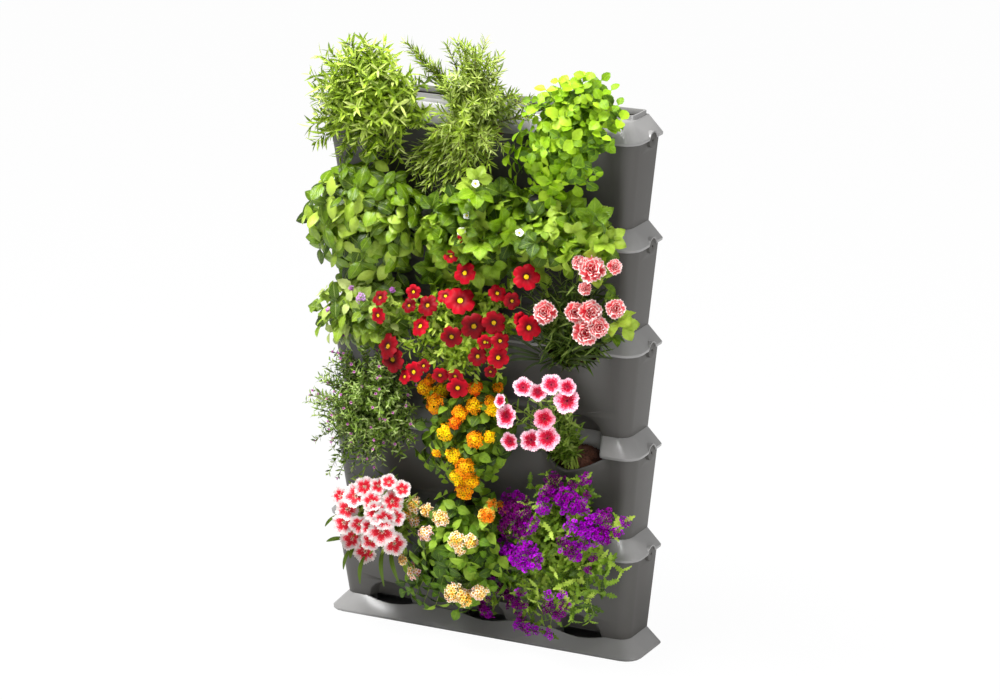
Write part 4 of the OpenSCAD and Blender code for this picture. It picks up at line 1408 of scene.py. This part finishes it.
# %% Grow the orange lantana
blade = leaf_parts(35, 25, rows=9, fold=0.25, droop=0.3, teeth=0.1, stalk_mm=5)
lantana_pair = whorl_of("lantana_pair", blade, leaves=2, lift=20)
orange_leaf = waxy_leaf("orange_lantana_leaf", "#263c04", "#62860e", "#9cc030", roughness=0.45,
                        relief=1.0)
orange_lantana = Clump("orange_lantana", 2, MIDDLE, (-80, 92), (-94, 112), 92)
ORANGE_HEADS = [
    (-59, 111, 36, 0.35), (-48, 127, 26, 0.7), (-26, 110, 36, 0.1), (-38, 83, 44, 0.5),
    (43, 123, 32, 0.8), (42, 91, 38, 0.35), (73, 104, 26, 0.5), (78, 89, 32, 0.15), (88, 131, 24, 0.6),
    (11, 72, 32, 0.45), (0, 53, 30, 0.75), (-18, 32, 36, 0.1), (42, 27, 38, 0.5), (69, 35, 28, 0.15),
    (-4, -10, 32, 0.1), (-37, -10, 18, 0.4), (21, -30, 44, 0.5), (6, -50, 34, 0.15), (33, -52, 34, 0.35),
    (19, -75, 38, 0.5), (-50, 98, 30, 0.3)]
centres, spots = head_places(orange_lantana, ORANGE_HEADS, floret_mm=8, seen_depth=82, florets=34)
ORANGE_TIPS = [
    (-76, -17), (-64, -31), (-15, 79), (84, 24), (62, -20), (-32, 53), (-58, 33), (78, 140), (36, 125),
    (-42, -40), (54, -37), (48, 72), (15, 99), (-7, 17), (43, 0), (84, 1)]
tips = tips_under(orange_lantana, centres) + seen_tips(orange_lantana, ORANGE_TIPS, seen_depth=77)
tips += dome(orange_lantana, 24, grow_out=0.85, inner=12)
grow(orange_lantana, lantana_pair, tips, orange_leaf, young_stem, spacing=17 * MM, bare=0.4,
     turn=QUARTER_TURN, stem_radius=1.3 * MM, tip_size=0.7, tilt=0.5)
WARM_TINTS = ((0.0, "#ffe000"), (0.35, "#ffbe08"), (0.65, "#ff9408"), (1.0, "#f05a10"))
orange_floret = silky_petal("orange_lantana_floret", (0.0, "#f08010"), (0.2, "#f8d080"), (0.4, "#ffffff"),
                            (1.0, "#ffffff"), tint_stops=WARM_TINTS)
bloom(orange_lantana, lantana_flower, spots, orange_floret, tilt=0.6)

# %% Grow the pink lantana
pink_leaf = waxy_leaf("pink_lantana_leaf", "#243e04", "#64900e", "#a4c83c", roughness=0.45, relief=1.0)
pink_lantana = Clump("pink_lantana", 1, MIDDLE, (-94, 94), (-118, 92), 100)
PINK_HEADS = [
    (-54, 69, 32, 0.45), (-27, 61, 38, 0.4), (-82, 47, 30, 0.55), (-57, 28, 34, 0.6), (-81, -51, 38, 0.6),
    (-103, -30, 26, 0.3), (4, 24, 34, 0.35), (31, 25, 32, 0.4), (-1, -78, 44, 0.4), (21, -84, 40, 0.35),
    (48, -68, 36, 0.45), (-79, 78, 38, 0.4), (65, 80, 36, 0.05), (97, 101, 30, 0.05), (74, 103, 24, 0.05),
    (12, 8, 28, 0.45), (-92, 62, 26, 0.3)]
centres, spots = head_places(pink_lantana, PINK_HEADS, floret_mm=8, seen_depth=87, florets=30,
                             tone_spread=0.3, proud=9)
PINK_TIPS = [
    (-103, -76), (-86, -100), (-43, -110), (26, -108), (-69, -112), (-16, -34), (18, -16), (61, -1),
    (44, 28), (2, 86), (-27, 101), (-41, 15), (-86, -57), (-104, -95), (4, -110)]
tips = tips_under(pink_lantana, centres) + seen_tips(pink_lantana, PINK_TIPS, seen_depth=82)
tips += dome(pink_lantana, 30, grow_out=0.85, inner=12)
grow(pink_lantana, lantana_pair, tips, pink_leaf, young_stem, spacing=17 * MM, bare=0.4,
     turn=QUARTER_TURN, stem_radius=1.3 * MM, tip_size=0.7, tilt=0.5)
PASTEL_TINTS = ((0.0, "#ff8c10"), (0.25, "#ffdc60"), (0.5, "#fdeed0"), (0.75, "#f8ccd6"),
                (1.0, "#e890b0"))
pink_floret = silky_petal("pink_lantana_floret", (0.0, "#f0a000"), (0.35, "#ffc030"), (0.55, "#ffffff"),
                          (1.0, "#ffffff"), tint_stops=PASTEL_TINTS)
bloom(pink_lantana, lantana_flower, spots, pink_floret, tilt=0.6)

# %% [markdown]
# Dianthus flowers have five fringed petals and a dark ring or blotch round the eye. The
# pink one stands up on slender stems, and the white one spills over its pocket with narrow
# grey-green leaves.

# %% Draw a dianthus flower
fringed = petal_parts(1.5, 21, 38, rows=5, columns=12, fringe=0.1, cup=0.06, ruffle=0.07, claw=0.78)
dianthus_tube = turned_profile([(1, -18, 0), (2.4, -14, 0), (2.6, -2, 0), (1.4, 0.6, 0)])
dianthus_flower = source_object(
    "dianthus_flower", ring_of_petals(5, fringed, lift=6) + [dianthus_tube])
print("a dianthus flower has", len(dianthus_flower.data.polygons), "faces")

# %% Grow the pink dianthus
pink_dianthus = Clump("pink_dianthus", 2, RIGHT, (-92, 88), (-15, 160), 85)
PINK_FLOWERS = [
    (-56, 134, 42), (0, 149, 44), (31, 125, 42), (-82, 79, 50), (-96, 106, 30), (-14, 85, 42),
    (-80, 35, 34), (-38, 45, 38), (-8, 51, 44), (30, 151, 30), (-26, 134, 30)]
spots = flower_places(pink_dianthus, PINK_FLOWERS, nominal=41, seen_depth=82, proud=12, least=86)
lance_leaf = waxy_leaf("pink_dianthus_leaf", "#38500a", "#6e8e20", "#aabf62", vein_share=0.15)
blade = leaf_parts(32, 6.5, rows=4, columns=2, fold=0.4, droop=0.15)
lance_pair = whorl_of("lance_pair", blade, leaves=2, lift=42)
tips = tips_under(pink_dianthus, spots, behind=16)
tips += dome_tips(36, -84, 24, 8, 120, 66, TIP_WOBBLE_MM, pink_dianthus.random)
grow(pink_dianthus, lance_pair, tips, lance_leaf, young_stem, spacing=13 * MM, bare=0.2,
     turn=QUARTER_TURN, stem_radius=1.1 * MM, tip_size=0.4, tilt=0.35)
eyed_petal = silky_petal("pink_dianthus_petal", (0.0, "#8c1830"), (0.08, "#c02850"), (0.16, "#8c0226"),
                         (0.5, "#cc1038"), (0.6, "#e0708e"), (0.78, "#f0b4c4"), (1.0, "#f4e0e8"),
                         streak=0.9,
                         tint_stops=((0.0, "#fffafb"), (0.45, "#ffe6ec"), (0.85, "#f2859e")))
bloom(pink_dianthus, dianthus_flower, spots, eyed_petal)

# %% Grow the white dianthus
white_dianthus = Clump("white_dianthus", 1, LEFT, (-66, 102), (-40, 112), 90)
WHITE_FLOWERS = [
    (-38, 70, 38), (-6, 77, 46), (25, 72, 42), (36, 50, 50), (65, 76, 46), (-30, 22, 50), (1, 25, 42),
    (20, 22, 36), (45, 18, 50), (68, -3, 47), (13, -24, 47), (-16, -7, 42), (11, 97, 38), (39, 101, 32),
    (62, 112, 34), (89, 103, 38), (75, 52, 36), (-25, 48, 40), (52, 43, 40), (24, -2, 40)]
spots = flower_places(white_dianthus, WHITE_FLOWERS, nominal=42, seen_depth=87, proud=8)
strap_leaf = waxy_leaf("white_dianthus_leaf", "#506a0c", "#86a026", "#a8be5a", vein_share=0.15)
blade = leaf_parts(48, 8, rows=5, columns=2, widest=0.45, blunt=0.6, fold=0.3, droop=0.45)
strap_pair = whorl_of("strap_pair", blade, leaves=2, lift=40)
tips = tips_under(white_dianthus, spots, behind=16)
tips += dome(white_dianthus, 36, grow_out=0.85, inner=10)
grow(white_dianthus, strap_pair, tips, strap_leaf, young_stem, spacing=17 * MM, bare=0.2,
     turn=QUARTER_TURN, stem_radius=1.1 * MM, tip_size=0.4, tilt=0.35)
blotched_petal = silky_petal("white_dianthus_petal", (0.0, "#c8c890"), (0.07, "#e4b8b4"),
                             (0.15, "#b81426"), (0.54, "#cc1a2c"), (0.66, "#e47882"), (0.8, "#d8c4c4"),
                             (1.0, "#d4ccc8"), streak=0.8, star=0.14)
bloom(white_dianthus, dianthus_flower, spots, blotched_petal)
HANGING_STRAPS = [
    ((-29, -32), (-47, -78)), ((-2, -45), (-12, -101)), ((39, -23), (39, -97)), ((55, -26), (71, -86)),
    ((-51, 32), (-84, 1)), ((-46, -16), (-82, -28)), ((-23, -27), (-32, -54))]
straps(white_dianthus, "straps", HANGING_STRAPS, width_mm=9, seen_depth=72, paint=strap_leaf)

# %% [markdown]
# The verbena in the lowest right pocket is the largest plant. Its florets have five notched
# petals and open from the rim of each head inwards, on a plant with finely cut leaves.

# %% Grow the purple verbena
verbena_leaf = waxy_leaf("verbena_leaf", "#385406", "#7ea420", "#b8d250", vein_share=0.2)
blade = leaf_parts(30, 18, rows=9, columns=2, fold=0.2, droop=0.2, teeth=-0.55)
verbena_pair = whorl_of("verbena_pair", blade, leaves=2, lift=35)
verbena = Clump("purple_verbena", 1, RIGHT, (-102, 116), (-124, 170), 106)
VERBENA_HEADS = [
    (11, 169, 36, 0.1), (2, 145, 36, 0.3), (42, 132, 50, 0.6), (26, 143, 40, 0.6), (60, 129, 32, 0.5),
    (-68, 123, 46, 0.4), (-76, 97, 50, 0.05), (-54, 98, 46, 0.1), (-78, 70, 46, 0.05), (-56, 68, 42, 0.2),
    (-32, 83, 32, 0.5), (-12, 113, 32, 0.6), (-89, 26, 46, 0.7), (-68, 14, 38, 0.7), (-46, 31, 38, 0.6),
    (-34, 12, 46, 0.7), (-54, 1, 26, 0.6), (-10, 136, 26, 0.4), (84, 103, 38, 0.7), (105, 114, 38, 0.4),
    (92, 80, 46, 0.7), (70, 86, 38, 0.7), (109, 84, 34, 0.4), (46, 88, 34, 0.8), (42, 45, 38, 0.4),
    (26, 58, 26, 0.3), (54, 34, 26, 0.5), (68, 59, 26, 0.5), (70, 180, 24, 0.4), (74, 154, 18, 0.1),
    (46, 167, 20, 0.1), (147, 115, 24, 0.6), (129, 91, 24, 0.6), (86, 39, 16, 0.1), (76, 11, 18, 0.2),
    (-115, -34, 24, 0.3), (-97, -52, 28, 0.2), (-83, -61, 24, 0.1), (-69, -74, 34, 0.2),
    (-59, -53, 24, 0.4), (-51, -75, 20, 0.1), (-57, -101, 24, 0.3), (-132, -89, 30, 0.2),
    (-124, -102, 30, 0.3), (-126, -77, 20, 0.2), (-2, -46, 24, 0.7), (-4, -71, 26, 0.2),
    (24, -42, 20, 0.8), (30, -60, 24, 0.3), (14, -82, 26, 0.3), (-63, -118, 20, 0.6),
    (-45, -119, 26, 0.5), (-25, -119, 22, 0.5), (-3, -122, 20, 0.7)]
centres, spots = head_places(verbena, VERBENA_HEADS, floret_mm=10, seen_depth=92, florets=15,
                             tone_spread=0.35, cap=85, proud=8, uneven=0.4)
tips = tips_under(verbena, centres) + dome(verbena, 70, grow_out=0.88, inner=20)
grow(verbena, verbena_pair, tips, verbena_leaf, young_stem, spacing=13 * MM, bare=0.35, turn=QUARTER_TURN,
     stem_radius=1.1 * MM, tip_size=0.7, tilt=0.5)
verbena_petal = petal_parts(0.8, 6.6, 30, rows=2, columns=4, notch=0.25, ruffle=0.15)
verbena_tube = turned_profile([(0.5, -9, 0.0), (0.8, 0, 0.1)], 5)
verbena_flower = source_object(
    "verbena_floret", ring_of_petals(5, verbena_petal, lift=5) + [verbena_tube])
PURPLE_TINTS = ((0.0, "#500446"), (0.35, "#780478"), (0.7, "#a004ba"), (1.0, "#be10e0"))
violet_petal = silky_petal("violet_verbena_petal", (0.0, "#c8b090"), (0.12, "#a890a8"), (0.3, "#f8f8f8"),
                           (1.0, "#ffffff"), roughness=0.8, shine=0.03, tint_stops=PURPLE_TINTS)
bloom(verbena, verbena_flower, spots, violet_petal, tilt=0.7)

# %% Give the small herb its lilac head
LILAC_TINTS = ((0.0, "#8a1880"), (0.5, "#c070c8"), (1.0, "#d8b8e8"))
lilac_petal = silky_petal("lilac_petal", (0.0, "#e8e0b0"), (0.3, "#ffffff"), (1.0, "#ffffff"),
                          tint_stops=LILAC_TINTS)
bloom(purple_herb, lantana_flower, lilac_spots, lilac_petal)

# %% [markdown]
# The leaves and petals that were copied along the stems have done their work and leave the
# scene, so that only finished pieces remain. The boxes of the imported and of the dressed
# planter are printed side by side.

# %% Clear up, and measure
for source in sources:
    mesh = source.data
    bpy.data.objects.remove(source)
    bpy.data.meshes.remove(mesh)

seen_low, seen_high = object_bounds()
for label, low, high in (("packed", cad_low, cad_high), ("dressed", seen_low, seen_high)):
    print(label, [round(v, 3) for v in (*low, *high)])
